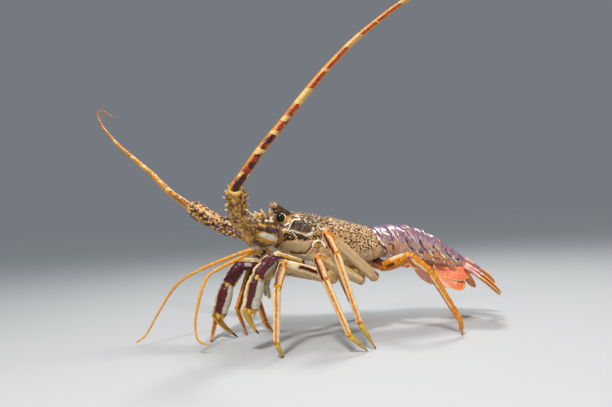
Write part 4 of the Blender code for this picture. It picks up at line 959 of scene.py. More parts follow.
def sectionGrid(keys, rows, cols, power):
    xs = np.linspace(keys[0][0], keys[-1][0], rows)
    half, top, bottom = readKeys(keys, xs)
    turn = circle(cols)[None, :]
    middle, tall = ((top + bottom) / 2)[:, None], ((top - bottom) / 2)[:, None]
    y = half[:, None] * bent(np.sin(turn), power)
    z = middle + tall * bent(np.cos(turn), power)
    x = np.broadcast_to(xs[:, None], y.shape)
    return np.stack((x, y, z), axis=-1), np.broadcast_to(turn, y.shape)


def makeUnderside():
    grid, turn = sectionGrid(under["sternum"], 120, 90, 0.6)
    below = rise(-np.cos(turn), 0.1, 0.7)
    plates = (grid[..., 0] - under["sternum"][0][0]) / under["plateLength"]
    plates = np.abs(plates % 1 - 0.5) * 2  # 1 at the seam of two plates
    height = (-1.1 * hill(plates - 1, 0.1) + 0.5 * hill(grid[..., 1] / 4, 0.6)) * below
    grid = grid + gridNormals(grid) * height[..., None]
    form = gridForm(grid, dark=0.7 * hill(plates - 1, 0.09) * below, warm=0.6 * hill(plates - 0.8, 0.1),
                    fleck=0.5 * below)
    makePiece("breast_plate", form, surfaces["underside"], ["sternum"])
    grid, turn = sectionGrid(under["head"], 110, 110, 0.8)
    normals = gridNormals(grid)
    top = rise(np.cos(turn), -0.1, 0.4)
    below = rise(-np.cos(turn), 0.2, 0.6)
    height = 0.4 * softNoise(grid, 4.0, 2) - 1.2 * hill(grid[..., 1] / 1.6, 1.0) * below
    height = height - 0.8 * hill(np.abs(grid[..., 0] + 104) - 6, 0.9) * below
    grid = grid + normals * height[..., None]
    cloud, fine = softNoise(grid, 6.0, 5), softNoise(grid, 3.5, 15)
    dark = np.maximum(0.9 * top * rise(cloud, 0.3, 0.0), (1 - top) * rise(fine, -0.1, -0.4))
    form = gridForm(grid, violet=0.8 * top * rise(cloud, 0.2, 0.5),
                    pale=0.9 * (1 - top) * rise(cloud, -0.1, 0.3),
                    warm=0.9 * (1 - top) * rise(fine, -0.1, 0.3), dark=dark, fleck=0.6 * top)
    makePiece("head_plate", form, surfaces["shell"], ["head"])
    crowd = top * rise(grid[..., 0], -121, -117) * rise(grid[..., 0], -84, -88)
    grow("head_thorns", grid, normals, under["thorns"], crowd, lift=0.75)
    for side, sign in bothSides:
        steps = under["mouthLegSteps"]
        path = smoothPath([np.array(p) * (1, sign, 1) for p in under["mouthLeg"]], steps)
        forms = []
        for first, last in under["mouthLegJoints"]:
            s = np.linspace(0, 1, 34)
            t = (first + (last - first) * s) / steps
            width = (5.2 - 3.2 * t) * np.sqrt(np.clip(1 - (2 * s - 1) ** 10, 0.02, 1)) * (0.94 + 0.1 * s)
            thick = width * 0.78
            grid, u, _, face = bladeGrid(path[first:last], lambda q: np.interp(q, s, width),
                                         lambda q: np.interp(q, s, thick), (0, 1, 0), 34, 24, (0.9, 0.9))
            forms.append(gridForm(grid, warm=0.8 * hill(u - 0.95, 0.08), dark=0.4 * hill(u - 0.03, 0.05),
                                  wash=0.4 * rise(np.abs(face), 0.4, 0.8), violet=0.6 * hill(u - 0.97, 0.03)))
        makePiece("mouth_leg_" + side, forms, surfaces["underside"],
                  ["maxilliped_" + side])
        grid, _, across, _ = bladeGrid(path[6:58], lambda q: 5.0 - 3.0 * q, lambda q: 3.8 - 2.2 * q,
                                       (0, 1, 0), 50, 20, (0.9, 0.9))
        crowd = rise(across * np.sign((grid[10, 0] - grid[10, 10])[2]), -0.2, -0.7)
        grow("mouth_leg_%s_bristles" % side, grid, gridNormals(grid), under["bristles"],
             crowd, heading=(0.2, 0, -1), lift=0.7)


makeUnderside()
print("underside ready")


# Feelers: a line of places becomes a ringed, tapering tube by Geometry Nodes
def feelerTree():
    tree = bpy.data.node_groups.new("Ringed feeler", "GeometryNodeTree")
    given, sockets = namedInputs(tree, (
        ("Geometry", "Geometry", None), ("Surface", "Material", None), ("Root radius", "Float", 0.006),
        ("Tip radius", "Float", 0.001), ("Full length", "Float", 0.56), ("Ring pitch", "Float", 0.0022),
        ("Ring depth", "Float", 0.05), ("Step", "Float", 0.0005), ("Sides", "Int", 16)))
    line = addNode(tree, "GeometryNodeMeshToCurve", {"Mesh": given["Geometry"]})
    line = addNode(tree, "GeometryNodeResampleCurve", {"Curve": line.outputs[0], "Length": given["Step"]},
                   mode="LENGTH")
    run = addNode(tree, "GeometryNodeSplineParameter").outputs["Length"]
    share = addNode(tree, "ShaderNodeMath", {0: calc(tree, "DIVIDE", run, given["Full length"]), 1: 0.85},
                    operation="POWER", use_clamp=True).outputs[0]
    thin = addNode(tree, "ShaderNodeMapRange", {"Value": share, "To Min": given["Root radius"],
                                                "To Max": given["Tip radius"]}).outputs[0]
    cycle = calc(tree, "FRACT", calc(tree, "DIVIDE", run, given["Ring pitch"]), 0.0)
    ridge = calc(tree, "MULTIPLY", calc(tree, "POWER", cycle, 2.2), given["Ring depth"])
    level = calc(tree, "SUBTRACT", 1.0, calc(tree, "MULTIPLY", given["Ring depth"], 0.5))
    radius = calc(tree, "MULTIPLY", thin, calc(tree, "ADD", level, ridge))
    for label, value in (("run", run), ("joint", cycle)):
        line = addNode(tree, "GeometryNodeStoreNamedAttribute", {
            "Geometry": line.outputs[0], "Name": label, "Value": value}, data_type="FLOAT", domain="POINT")
    ring = addNode(tree, "GeometryNodeCurvePrimitiveCircle", {"Resolution": given["Sides"], "Radius": 1.0})
    tube = addNode(tree, "GeometryNodeCurveToMesh", {
        "Curve": line.outputs[0], "Profile Curve": ring.outputs[0], "Scale": radius, "Fill Caps": True})
    smooth = addNode(tree, "GeometryNodeSetShadeSmooth", {"Geometry": tube.outputs[0]})
    endTree(tree, smooth.outputs[0], given["Surface"])
    return tree, sockets


ringTree, ringSockets = feelerTree()


# A feeler; paint gives its marks from the run along it, the place within a ring, and the places in space
def ringedTube(name, path, surface, nodes, values, paint):
    mesh = bpy.data.meshes.new(name + "Line")
    pts = (path + originShift) * mm
    mesh.from_pydata(pts.tolist(), [(i, i + 1) for i in range(len(pts) - 1)], [])
    holder = addObject(name, mesh)
    made = applyTree(holder, ringTree, ringSockets, {"Surface": surface, **values})
    count = len(made.vertices)
    run, cycle, place = np.zeros(count), np.zeros(count), np.zeros(count * 3)
    made.attributes["run"].data.foreach_get("value", run)
    made.attributes["joint"].data.foreach_get("value", cycle)
    made.vertices.foreach_get("co", place)
    place = place.reshape(-1, 3) / mm - originShift
    for mark, value in paint(run / mm, cycle, place).items():
        storeMark(made, mark, np.broadcast_to(value, (count,)).copy())
    adopt(holder, nodes)


# Feelers: path, pale bands as (start, end) along, and where the dark mottling fades out; depth is how dark
# the root is, gold how golden the ground is, rim how strong the pale rims and the dark line are; the pale
# rims are partly cream edges and partly a painted highlight
feelers = {
    "left": {
        "path": [(-154, -113, 203), (-146, -117, 216), (-125, -122, 245), (-97, -126, 277), (-71, -130, 308),
                 (-43, -135, 339), (-11, -140, 370), (22, -145, 396), (52, -150, 417), (95, -154, 441),
                 (150, -158, 464), (215, -160, 482), (290, -161, 494)],
        "bands": [(18, 25), (50, 58), (80, 86), (100, 106), (126, 150), (176, 182), (216, 240), (262, 266),
                  (300, 324), (352, 357), (394, 418), (452, 457)],
        "full": 560, "fading": (90, 200), "depth": 1.0, "gold": 0.0, "rim": 0.0},
    "right": {
        "path": [(-199, 98, 192), (-209, 102, 200), (-229, 112, 217), (-255, 126, 247), (-284, 140, 276),
                 (-302, 148, 294), (-321, 157, 318), (-331, 163, 336), (-334, 166, 348), (-329, 167, 353),
                 (-321, 168, 350), (-312, 170, 343)],
        "bands": [(22, 26), (44, 50), (62, 68), (98, 106), (122, 128), (160, 168), (190, 196)],
        "full": 240, "fading": (90, 200), "depth": 0.5, "gold": 0.6, "rim": 0.6},
    "root": 6.2, "tip": 0.9,
}


def makeFeelers():
    for side, _ in bothSides:
        feeler = feelers[side]
        joints = np.array(antenna["joints"][side], float)
        out = unit(joints[-1] - joints[-2])
        pts = np.vstack(([joints[-1] - out * 1.5, joints[-1] + out * 4], feeler["path"][1:]))
        path = smoothPath(pts, 180)
        reached, ways = runAlong(path), np.gradient(path, axis=0)

        def paint(run, cycle, place):
            centre, way = (np.stack([np.interp(run, reached, values[:, k]) for k in range(3)], axis=-1)
                           for values in (path, ways))
            upper = np.stack([-way[:, 2], 0 * run, way[:, 0]], axis=-1) * np.sign(way[:, :1])
            above = np.sum(unit(place - centre) * unit(upper), axis=-1)  # 1 on the upper edge, -1 below
            ragged = 1.6 * softNoise(place, 4.0, 3) + 2.5 * above
            band = sum(rise(run + ragged, start - 1.0, start + 1.0) * rise(run + ragged, end + 1.0, end - 1.0)
                       for start, end in feeler["bands"])
            far = rise(run, *feeler["fading"])
            # pale bands show more on the upper side and further along
            bandShown = softNoise(place, 5.0, 19) + 0.8 * above + 1.2 * rise(run, 110, 130)
            band = band * rise(bandShown, -0.7, -0.1)
            edge = rise(above + 0.25 * softNoise(place, 6.0, 31), 0.35, 0.7) + 0.8 * rise(-above, 0.6, 0.85)
            blotch = rise(softNoise(place, 7.0, 11), -0.1, 0.3)
            mottle = rise(softNoise(place, 5.0, 23), 0.2, 0.5) * (1 - far)
            near = rise(run, 40, 16) * feeler["depth"] * (1 - 0.9 * band)
            darkLine = 0.7 * hill(above - 0.45, 0.2) * rise(run, 85, 60) * feeler["rim"]
            # pale rims on the upper and lower edges: partly cream edges, partly a painted highlight
            rims = rise(np.abs(above), 0.72, 0.92) * feeler["rim"]
            patches = 1.1 * blotch * feeler["depth"] * (1 - far) + 0.3 * hill(cycle - 0.97, 0.12)
            patches = patches * (1 - 0.9 * band)
            return {"pale": np.clip(band * (0.85 - 0.3 * far) + 0.35 * mottle + rims, 0, 1),
                    "warm": np.clip(0.45 * mottle + 0.3 * far + 0.85 * edge, 0, 1),
                    "wash": feeler["gold"] * (1 - 0.7 * rise(run, 130, 220)),
                    "dark": (patches * (1 - 0.8 * edge) + (0.85 - 0.9 * blotch) * near * (1 - 0.9 * edge)
                             + darkLine)}

        ringedTube("feeler_" + side, path, surfaces["feeler"],
                   ["antenna_flagellum_%s_lower" % side, "antenna_flagellum_%s_upper" % side],
                   {"Root radius": feelers["root"] * mm, "Tip radius": feelers["tip"] * mm,
                    "Full length": feeler["full"] * mm}, paint)


# Antennules: path, and where along it the joints of the stalk are
antennule = {
    "left": [(-108, -7, 124), (-127, -12, 121), (-178, -30, 102), (-192, -36, 86), (-203, -40, 49),
             (-204, -42, 26), (-199, -42, 16), (-187, -40, 12)],
    "right": [(-108, 7, 124), (-128, 12, 124), (-193, 30, 101), (-226, 40, 80), (-250, 44, 46),
              (-268, 45, 17), (-281, 45, 7)],
    "root": 3.4, "tip": 1.2, "joints": (0.0, 0.16, 0.42, 0.62), "steps": 160,
    "rings": {"Ring pitch": 0.0016, "Step": 0.0004, "Sides": 12},
}


def makeAntennules():
    root, tip, joints, steps = (antennule[key] for key in ("root", "tip", "joints", "steps"))
    stalkEnd = int(steps * joints[-1]) - 2

    def ringLines(run, cycle, place):
        return {"dark": 0.35 * hill(cycle - 0.97, 0.1)}

    for side, _ in bothSides:
        path = smoothPath(antennule[side], steps)
        forms = []
        for a, b in zip(joints, joints[1:]):
            share, s = np.linspace(a, b, 40), np.linspace(0, 1, 40)
            radius = (root - (root - tip) * share ** 0.8) * (0.9 + 0.16 * rise(s, 0.6, 1.0))
            radius = radius * np.sqrt(np.clip(1 - (2 * s - 1) ** 14, 0.02, 1))
            grid = tubeGrid(path[int(a * steps):int(b * steps) + 1], radius, 40, 20)
            s = s[:, None]
            forms.append(gridForm(grid, warm=0.7 * hill(s - 0.96, 0.05), pale=0.5 * hill(s - 0.02, 0.03)))
        makePiece("antennule_%s_stalk" % side, forms, surfaces["antennule"])
        run = runAlong(path)
        values = {"Root radius": (root - (root - tip) * joints[-1] ** 0.8) * mm, "Tip radius": tip * mm,
                  "Full length": (run[-1] - run[stalkEnd]) * mm, **antennule["rings"]}
        ringedTube("antennule_%s_whip" % side, path[stalkEnd:], surfaces["antennule"],
                   ["antennule_" + side], values, ringLines)


makeFeelers()
makeAntennules()
print("feelers ready")


# Legs: joints from the body out (inside, hip, knee, wrist, hand end, tip), the same as the solids
legs = {
    "joints": {
        "1_left": [(-40, -15, 99), (-52, -33, 98), (-104, -62, 117), (-128, -75, 96), (-139, -72, 54),
                   (-128, -62, 23)],
        "2_left": [(-14, -15, 90), (-20, -38, 81), (-97, -85, 110), (-109, -100, 82), (-114, -106, 19),
                   (-106, -104, 0)],
        "3_left": [(12, -15, 88), (20, -40, 77), (-55, -90, 116), (-49, -105, 87), (-28, -122, 22),
                   (-5, -118, 0)],
        "4_left": [(34, -15, 90), (40, -39, 79), (-41, -85, 146), (-31, -97, 118), (-11, -112, 34),
                   (8, -112, 0)],
        "5_left": [(50, -14, 98), (56, -37, 93), (77, -75, 108), (99, -85, 87), (135, -92, 21),
                   (136, -93, 0)],
        "1_right": [(-40, 15, 99), (-52, 33, 98), (-133, 48, 104), (-153, 50, 76), (-168, 47, 32),
                    (-143, 42, 1)],
        "2_right": [(-14, 15, 90), (-24, 36, 80), (-122, 94, 104), (-140, 99, 75), (-172, 58, 25),
                    (-182, 28, 0)],
        "3_right": [(12, 15, 90), (10, 40, 88), (-97, 64, 121), (-115, 64, 101), (-140, 58, 37),
                    (-128, 48, 0)],
        "4_right": [(34, 15, 90), (34, 50, 75), (-93, 100, 92), (-110, 105, 69), (-96, 78, 12), (-89, 56, 0)],
        "5_right": [(50, 14, 98), (56, 37, 93), (35, 72, 104), (26, 85, 77), (45, 90, 30), (60, 94, 0)],
    },
    "clawSizes": [(8.0, 8.5), (7.5, 8.5), (7.0, 8.6), (6.8, 8.8), (5.6, 9.0), (0.9, 1.1)],
    "walkSizes": [(8.5, 8.5), (6.6, 7.2), (5.2, 5.8), (4.8, 5.4), (3.5, 4.1), (1.4, 1.8)],
    "clawSwell": [1.0, 1.06, 1.15, 1.25, 1.0], "walkSwell": [1.0, 1.2, 1.08, 0.98, 0.95],
    "clawFacing": (0.25, 1.0, 0.1), "rows": 64, "cols": 40, "keel": 0.05,
    "bristles": {"spacing": 0.7, "length": 2.6, "shape": "bristle", "surface": "bristle",
                 "crowding": 900000.0, "seed": 9},
    # colours of each length: (mark, from, to across it, from, to along it, amount); 1 is its leading edge
    "bands": {
        "claw": [[("wash", -2, 2, -1, 2, 0.8)],
                 [("pale", 0.85, 2, 0.3, 2, 1), ("warm", 0.6, 0.88, 0.3, 2, 0.9),
                  ("wash", -0.4, 0.35, 0.8, 0.95, 0.9), ("wash", -2, 2, -1, 0.22, 0.8)],
                 [("pale", 0.92, 2, 0.1, 1.1, 1), ("warm", -2, -0.92, 0.3, 1.1, 0.8),
                  ("warm", -2, 2, 0.95, 2, 0.8)],
                 [("pale", 0.93, 2, -1, 2, 1), ("warm", 0.82, 0.95, -1, 2, 0.8),
                  ("wash", -2, -0.45, 0.02, 0.9, 1), ("warm", -2, 2, 0.93, 2, 0.9)]],
        "walk": [[("wash", -2, 2, -1, 2, 0.7)],
                 # the pale streak along the middle of the thigh is partly cream colour and partly a painted
                 # highlight
                 [("wash", -2, 2, -1, 0.88, 0.95), ("pale", -0.1, 0.6, 0.08, 0.97, 0.75),
                  ("warm", 0.85, 2, 0.1, 0.95, 0.7), ("dark", -2, -0.93, 0.1, 0.9, 0.6),
                  ("dark", -2, -0.5, -1, 0.1, 0.8), ("warm", -0.5, 2, -1, 0.03, 0.8)],
                 [("pale", 0.78, 2, -1, 2, 1), ("dark", 0.12, 0.72, 0.06, 0.95, 1),
                  ("pale", -0.8, -0.2, 0.2, 0.9, 0.8)],
                 [("pale", 0.42, 2, -1, 0.97, 0.95), ("pale", -2, -0.2, -1, 0.97, 0.9),
                  ("dark", -0.1, 0.3, -1, 0.08, 0.7)],
                 [("warm", -2, 2, -1, 0.93, 1), ("dark", -2, 2, 0.92, 2, 1)]],
    },
    "own": {  # lengths that differ from the rest, by leg and number of the length
        "1_left": {2: [("pale", 0.88, 2, 0.1, 1.1, 1), ("warm", -2, -0.88, 0.3, 1.1, 0.8),
                       ("wash", -0.9, -0.6, 0.1, 0.9, 0.9)],
                   3: [("pale", 0.8, 2, -1, 2, 1), ("warm", 0.68, 0.84, -1, 2, 0.8),
                       ("wash", -2, -0.25, 0.02, 0.9, 1), ("warm", -2, 2, 0.92, 2, 0.9)]},
        "2_left": {1: [("wash", -2, 2, -1, 0.93, 0.9), ("pale", -0.4, 2, 0.15, 0.95, 1),
                       ("dark", 0.1, 0.85, 0.4, 0.76, 1), ("warm", 0.9, 2, 0.2, 1, 0.8)]},
        "far": {2: [("pale", 0.85, 2, -1, 2, 0.9), ("dark", -0.9, 0.4, 0.05, 0.95, 0.95)],
                3: [("dark", -0.85, 0.15, -1, 2, 0.9), ("pale", 0.85, 2, -1, 0.5, 0.6)],
                4: [("dark", -0.7, 0.2, -1, 0.75, 0.8), ("dark", -2, 2, 0.95, 2, 1)]},
        "5_left": {0: [("dark", -0.2, 2, -1, 2, 0.95), ("violet", -0.5, -0.2, 0.4, 0.85, 0.8)],
                   1: [("dark", -0.35, 0.35, 0.15, 0.5, 0.9), ("pale", 0.7, 2, 0.3, 0.9, 0.8),
                       ("dark", -2, -0.8, -1, 2, 0.6)],
                   2: [("pale", 0.3, 0.85, 0.1, 0.9, 0.9), ("dark", -2, -0.75, -1, 2, 0.7)],
                   3: [("pale", 0.3, 0.8, 0.05, 0.75, 0.9), ("dark", -2, -0.75, -1, 2, 0.6)],
                   4: [("dark", -2, 2, 0.94, 2, 1)]},
    },
}


# One length of a leg: ring grid, share along, and way; openEnd is how far the round ends pass the joints
def limbGrid(a, b, normal, sizeA, sizeB, swell, rows, cols, openEnd):
    way = unit(b - a)
    span = float(np.linalg.norm(b - a))
    normal = unit(normal - way * float(normal @ way))
    wide = np.cross(normal, way)
    over = openEnd * sizeA[1], openEnd * sizeB[1]
    share = 0.5 - 0.5 * np.cos(np.linspace(0, math.pi, rows))
    run = -over[0] + (span + over[0] + over[1]) * (0.35 * share + 0.65 * np.linspace(0, 1, rows))
    t = run / span
    mix = np.clip(t, 0, 1)
    body = 1 + (swell - 1) * np.sin(math.pi * mix)
    dome = [np.sqrt(np.clip(1 - (1 - np.clip(reach / (0.85 * size), 0, 1)) ** 2, 0.004, 1))
            for reach, size in ((run + over[0], sizeA[1]), (span + over[1] - run, sizeB[1]))]
    collar = 1 + 0.07 * hill(run - span + 0.5 * sizeB[1], 1.3) - 0.06 * hill(run - span + 1.6 * sizeB[1], 2.0)
    collar = collar * (1 - 0.08 * hill(run - 0.6 * sizeA[1], 1.6))
    scale = (body * dome[0] * dome[1] * collar)[:, None]
    thin = (sizeA[0] + (sizeB[0] - sizeA[0]) * mix)[:, None] * scale
    broad = (sizeA[1] + (sizeB[1] - sizeA[1]) * mix)[:, None] * scale
    turn = circle(cols)[None, :]
    edges = hill(np.sin(turn) - 1, 0.05) + hill(np.sin(turn) + 1, 0.05)
    ridge = 1 + legs["keel"] * edges - 0.4 * legs["keel"] * hill(np.sin(turn), 0.3)
    grid = (a + way * run[:, None])[:, None] + normal * (thin * np.cos(turn) * ridge)[..., None] \
        + wide * (broad * bent(np.sin(turn), 0.95) * ridge)[..., None]
    return grid, np.broadcast_to(t[:, None], (rows, cols)), way


def legMarks(grid, t, across, bands):  # bands wander a little, their borders are soft
    across = across + 0.09 * softNoise(grid, 6.0, 5) + 0.05 * softNoise(grid, 1.8, 8)
    along = t + 0.05 * softNoise(grid, 4.0, 17)
    marks = {mark: 0.0 * t for mark in ("wash", "warm", "dark", "pale")}
    for mark, low, high, start, end, amount in bands:
        value = rise(across, low - 0.14, low + 0.14) * rise(across, high + 0.14, high - 0.14)
        value = value * rise(along, start - 0.05, start + 0.05) * rise(along, end + 0.05, end - 0.05)
        addMark(marks, mark, amount * value)
    addMark(marks, "dark", 0.5 * rise(softNoise(grid, 2.6, 33), 0.62, 0.75) * (marks["pale"] > 0.4))
    for mark in ("wash", "warm"):
        marks[mark] = marks[mark] * (1 - 0.9 * np.clip(marks["pale"], 0, 1))
    marks["pale"] = marks["pale"] * (1 - 0.8 * marks["dark"])
    return marks


def kneeBumps(joint, normal, size, way, mark):  # the two hinge knobs of a joint
    forms = []
    for flip in (-1, 1):
        centre = joint + normal * flip * size[0] * 0.86
        stops = np.linspace(0, 1, 12)
        spots = np.linspace(centre - way * size[1] * 0.42, centre + way * size[1] * 0.42, 12)
        grid = tubeGrid(spots, 0.26 * size[1] * np.sin(math.pi * np.clip(stops, 0.02, 0.98)) ** 0.5, 12, 14,
                        hint=normal + np.array((0.01, 0.02, 0.03)))
        forms.append(gridForm(grid, **{mark: 1.0}))
    return forms


def makeClaw(joints, normal, gold):  # movable finger, golden in part, and the fixed spur that it closes on
    hinge, tip = joints[4], joints[5]
    hand = unit(hinge - joints[3])
    outer = unit(np.cross(normal, hand))
    outer = outer if outer[0] < 0 else -outer
    seat = hinge + outer * 3.0
    way = unit(tip - seat)
    reach = float(np.linalg.norm(tip - seat))
    bow = unit(outer - way * float(outer @ way))
    grid, t, across, _ = bladeGrid([seat - way * 6, seat + way * reach * 0.4 + bow * 3.0, tip],
                                   lambda t: 5.6 * (1 - t) ** 0.85 * (1 - 0.5 * rise(t, 0.06, 0.0)) + 0.5,
                                   lambda t: 4.2 * (1 - t) + 0.5, normal, 50, 28)
    edge = across * np.sign((grid[20, 0] - grid[20, 14]) @ outer)
    forms = [gridForm(grid, pale=0.8 * rise(edge, 0.7, 0.95) * gold, dark=rise(t, 0.8, 0.93),
                      warm=rise(t, 0.9, 0.8) * np.maximum(gold, rise(edge, 0.1, 0.5)))]
    heel = hinge - outer * 4.6 - hand * 6
    grid, t, _, _ = bladeGrid([heel, hinge - outer * 6.5 + hand * 2, hinge - outer * 7 + hand * 8.5],
                              lambda t: 3.9 * (1 - t) + 0.4, lambda t: 3.5 * (1 - t) + 0.4, normal, 30, 22)
    forms.append(gridForm(grid, warm=rise(t, 0.45, 0.65) * rise(t, 0.95, 0.85),
                          pale=0.7 * hill(t - 0.5, 0.15), dark=rise(t, 0.85, 0.95)))
    return forms


def legPlane(joints, claw):  # the direction across the plane that a leg bends in
    if claw:
        return unit(legs["clawFacing"])
    normal = unit(np.cross(joints[2] - joints[1], joints[4] - joints[2]))
    return -normal if float(normal @ (joints[2] - joints[0])) < 0 else normal


def makeLegs():
    for name, spots in legs["joints"].items():
        joints = [np.array(p, float) for p in spots]
        claw, left = name.startswith("1"), name.endswith("left")
        kind = "claw" if claw else "walk"
        sizes, swells, bands = legs[kind + "Sizes"], legs[kind + "Swell"], legs["bands"][kind]
        own = legs["own"].get(name, {} if claw or left else legs["own"]["far"])
        normal = legPlane(joints, claw)
        outward = np.array((0.25, 1.0, 0.0)) * (-1 if left else 1)
        upper, lower = [], []
        for k in range(4 if claw else 5):
            last = k == 4
            sizeB = (0.6, 0.8) if last else sizes[k + 1]
            a, b = joints[k], joints[k + 1]
            if last:
                b = b + np.array((0, 0, 0.9)) - unit(b - a) * 0.2
            grid, t, way = limbGrid(a, b, normal, sizes[k], sizeB, swells[k], legs["rows"], legs["cols"],
                                    0.0 if last else 0.4)
            grid = grid + 0.16 * softNoise(grid, 3.0, k + 2)[..., None] * gridNormals(grid)
            if last:
                grid[..., 2] = np.maximum(grid[..., 2], 0.05)  # stands on the floor
            front = unit(np.cross(outward - way * float(outward @ way), way))
            front = front * np.sign(float(front @ np.array((-1, 0, 0.8))))
            radial = grid - grid.mean(axis=1, keepdims=True)
            across = unit(radial - way * (radial @ way)[..., None]) @ front
            form = gridForm(grid, fleck=0.0 if claw else 0.7,
                            **legMarks(grid, t, across, own.get(k, bands[k])))
            (upper if k < 2 else lower).append(form)
            if k in (1, 2, 3):
                bend = unit(way + unit(joints[k + 2] - joints[k + 1]))
                knobs = kneeBumps(b, normal, sizes[k + 1], bend, "violet" if k == 1 else "warm")
                (upper if k == 1 else lower).extend(knobs)
        if claw:
            lower.extend(makeClaw(joints, normal, 1.0 if left else 0.4))
        for part, forms in (("upper", upper), ("lower", lower)):
            node = "leg_%s_%s" % (name, part)
            makePiece(node + "_shell", forms, surfaces["claw" if claw else "leg"], [node])
        if not claw:
            grid, t, way = limbGrid(joints[4], joints[5], normal, sizes[4], (1.1, 1.3), 0.95, 24, 16, 0.0)
            crowd = rise(t, 0.25, 0.4) * rise(t, 0.97, 0.9) * rise(grid[..., 2], 3, 5)
            grow("leg_%s_bristles" % name, grid, gridNormals(grid), legs["bristles"], crowd,
                 heading=way, lift=0.45)


makeLegs()
print("legs ready")


# Tail rings: borders as (top point, bottom point, half width), and the tips of the side hooks as
# (share of the ring, place along, height)
tail = {
    "borders": [((46.15, 147), (55.15, 102), 32), ((58, 149), (68, 102), 33), ((80, 150.5), (88, 99.5), 33),
                ((103, 149), (107, 97.5), 31.5), ((127, 141.5), (125, 94), 29), ((152, 128.5), (144, 87), 25.5),
                ((196, 96), (183, 80), 19)],
    "points": [(0.5, 68, 107), (0.55, 87, 101), (0.57, 114, 100), (0.6, 134, 96), (0.6, 153, 91),
               (0.4, 171, 83)],
    "rows": 90, "cols": 150,
    "drawing": {
        "areas": [
            ("warm", 1.6, 0.9, [(61.8, 122.8), (70.9, 125), (77.3, 119.8), (76.1, 111.5), (77.1, 97.1),
             (58.2, 97), (59.8, 111.2)]),
            ("wash", 2, 0.8, [(78.8, 119.7), (88.9, 123.2), (96.8, 115), (104.8, 107.6), (104.7, 100.5),
             (80, 108.5)]),
            ("warm", 1.6, 0.9, [(97.5, 109.4), (112.4, 108.2), (120.3, 110), (130.1, 104.9), (141.4, 107.7),
             (156.7, 98.6), (168.2, 90.7), (162.1, 76.9), (119.7, 80), (102.3, 98.2)]),
            ("warm", 1, 1, [(174.3, 104.5), (174.3, 103.8), (178.6, 98.4), (172.9, 99.6)]),
        ],
        "lines": [
            ("pale", 1.4, 1, [(59.4, 140.9), (67.8, 135.8)]),
            ("pale", 1.4, 1, [(85.2, 144.8), (93.1, 139.6)]),
            ("pale", 1.3, 1, [(114.1, 142.8), (120.2, 137.7)]),
            ("pale", 1.3, 1, [(126.8, 134.9), (142.2, 129.9)]),
            ("pale", 2.1, 1, [(48.6, 135.3), (53.6, 131.2)]),
            ("pale", 1, 0.9, [(53.6, 131.2), (58.4, 123)]),
            ("pale", 1, 0.6, [(71.5, 144.8), (74.7, 137.1), (79.4, 127.5)]),
            ("pale", 1, 0.6, [(98.9, 139.2), (101.7, 132.9), (107.8, 125.7)]),
            ("pale", 1, 0.8, [(53.4, 146.3), (56.7, 138.4)]),
            ("dark", 1.3, 0.9, [(65.2, 123.6), (72.2, 122), (71.9, 116.2)]),
            # this dark line is painted shadow in the gap behind the back shell; the four below are the dark
            # rear edges of the side plates with painted shadow along them
            ("dark", 1.2, 1, [(49.6, 130.4), (52.3, 124.3), (57.8, 120), (61.9, 114.5), (60.6, 110.6)]),
            ("dark", 1.3, 1, [(93.7, 125.1), (94.6, 118.4), (100, 114.2), (104.9, 109.1), (108.4, 105.5)]),
            ("dark", 1.3, 1, [(115.6, 125), (115.8, 117.7), (121.4, 111.9), (127, 104.2)]),
            ("dark", 1.2, 1, [(136.9, 120), (136.7, 114.2), (140.7, 109.9), (144.6, 104.8)]),
            ("dark", 1.2, 1, [(156.5, 111.2), (159.5, 103.4), (166.3, 96.5), (172.8, 89.6)]),
            ("pale", 0.8, 1, [(107.3, 111), (116, 103.2)]),
            ("pale", 0.8, 1, [(128.4, 109.6), (133.8, 102.1)]),
            ("pale", 0.8, 1, [(146.5, 106.6), (154.5, 98.4)]),
            ("pale", 0.8, 1, [(168, 96.7), (174.3, 89.6)]),
            ("dark", 2.1, 0.7, [(114.5, 108.6), (116, 107.7)]),
            ("dark", 1.7, 0.7, [(134.1, 107.2), (135.5, 106.5)]),
            ("dark", 2, 0.6, [(138, 98.1), (143.6, 96.9)]),
            ("dark", 1.8, 1, [(176.6, 94), (178.7, 92.9)]),
        ],
    },
}


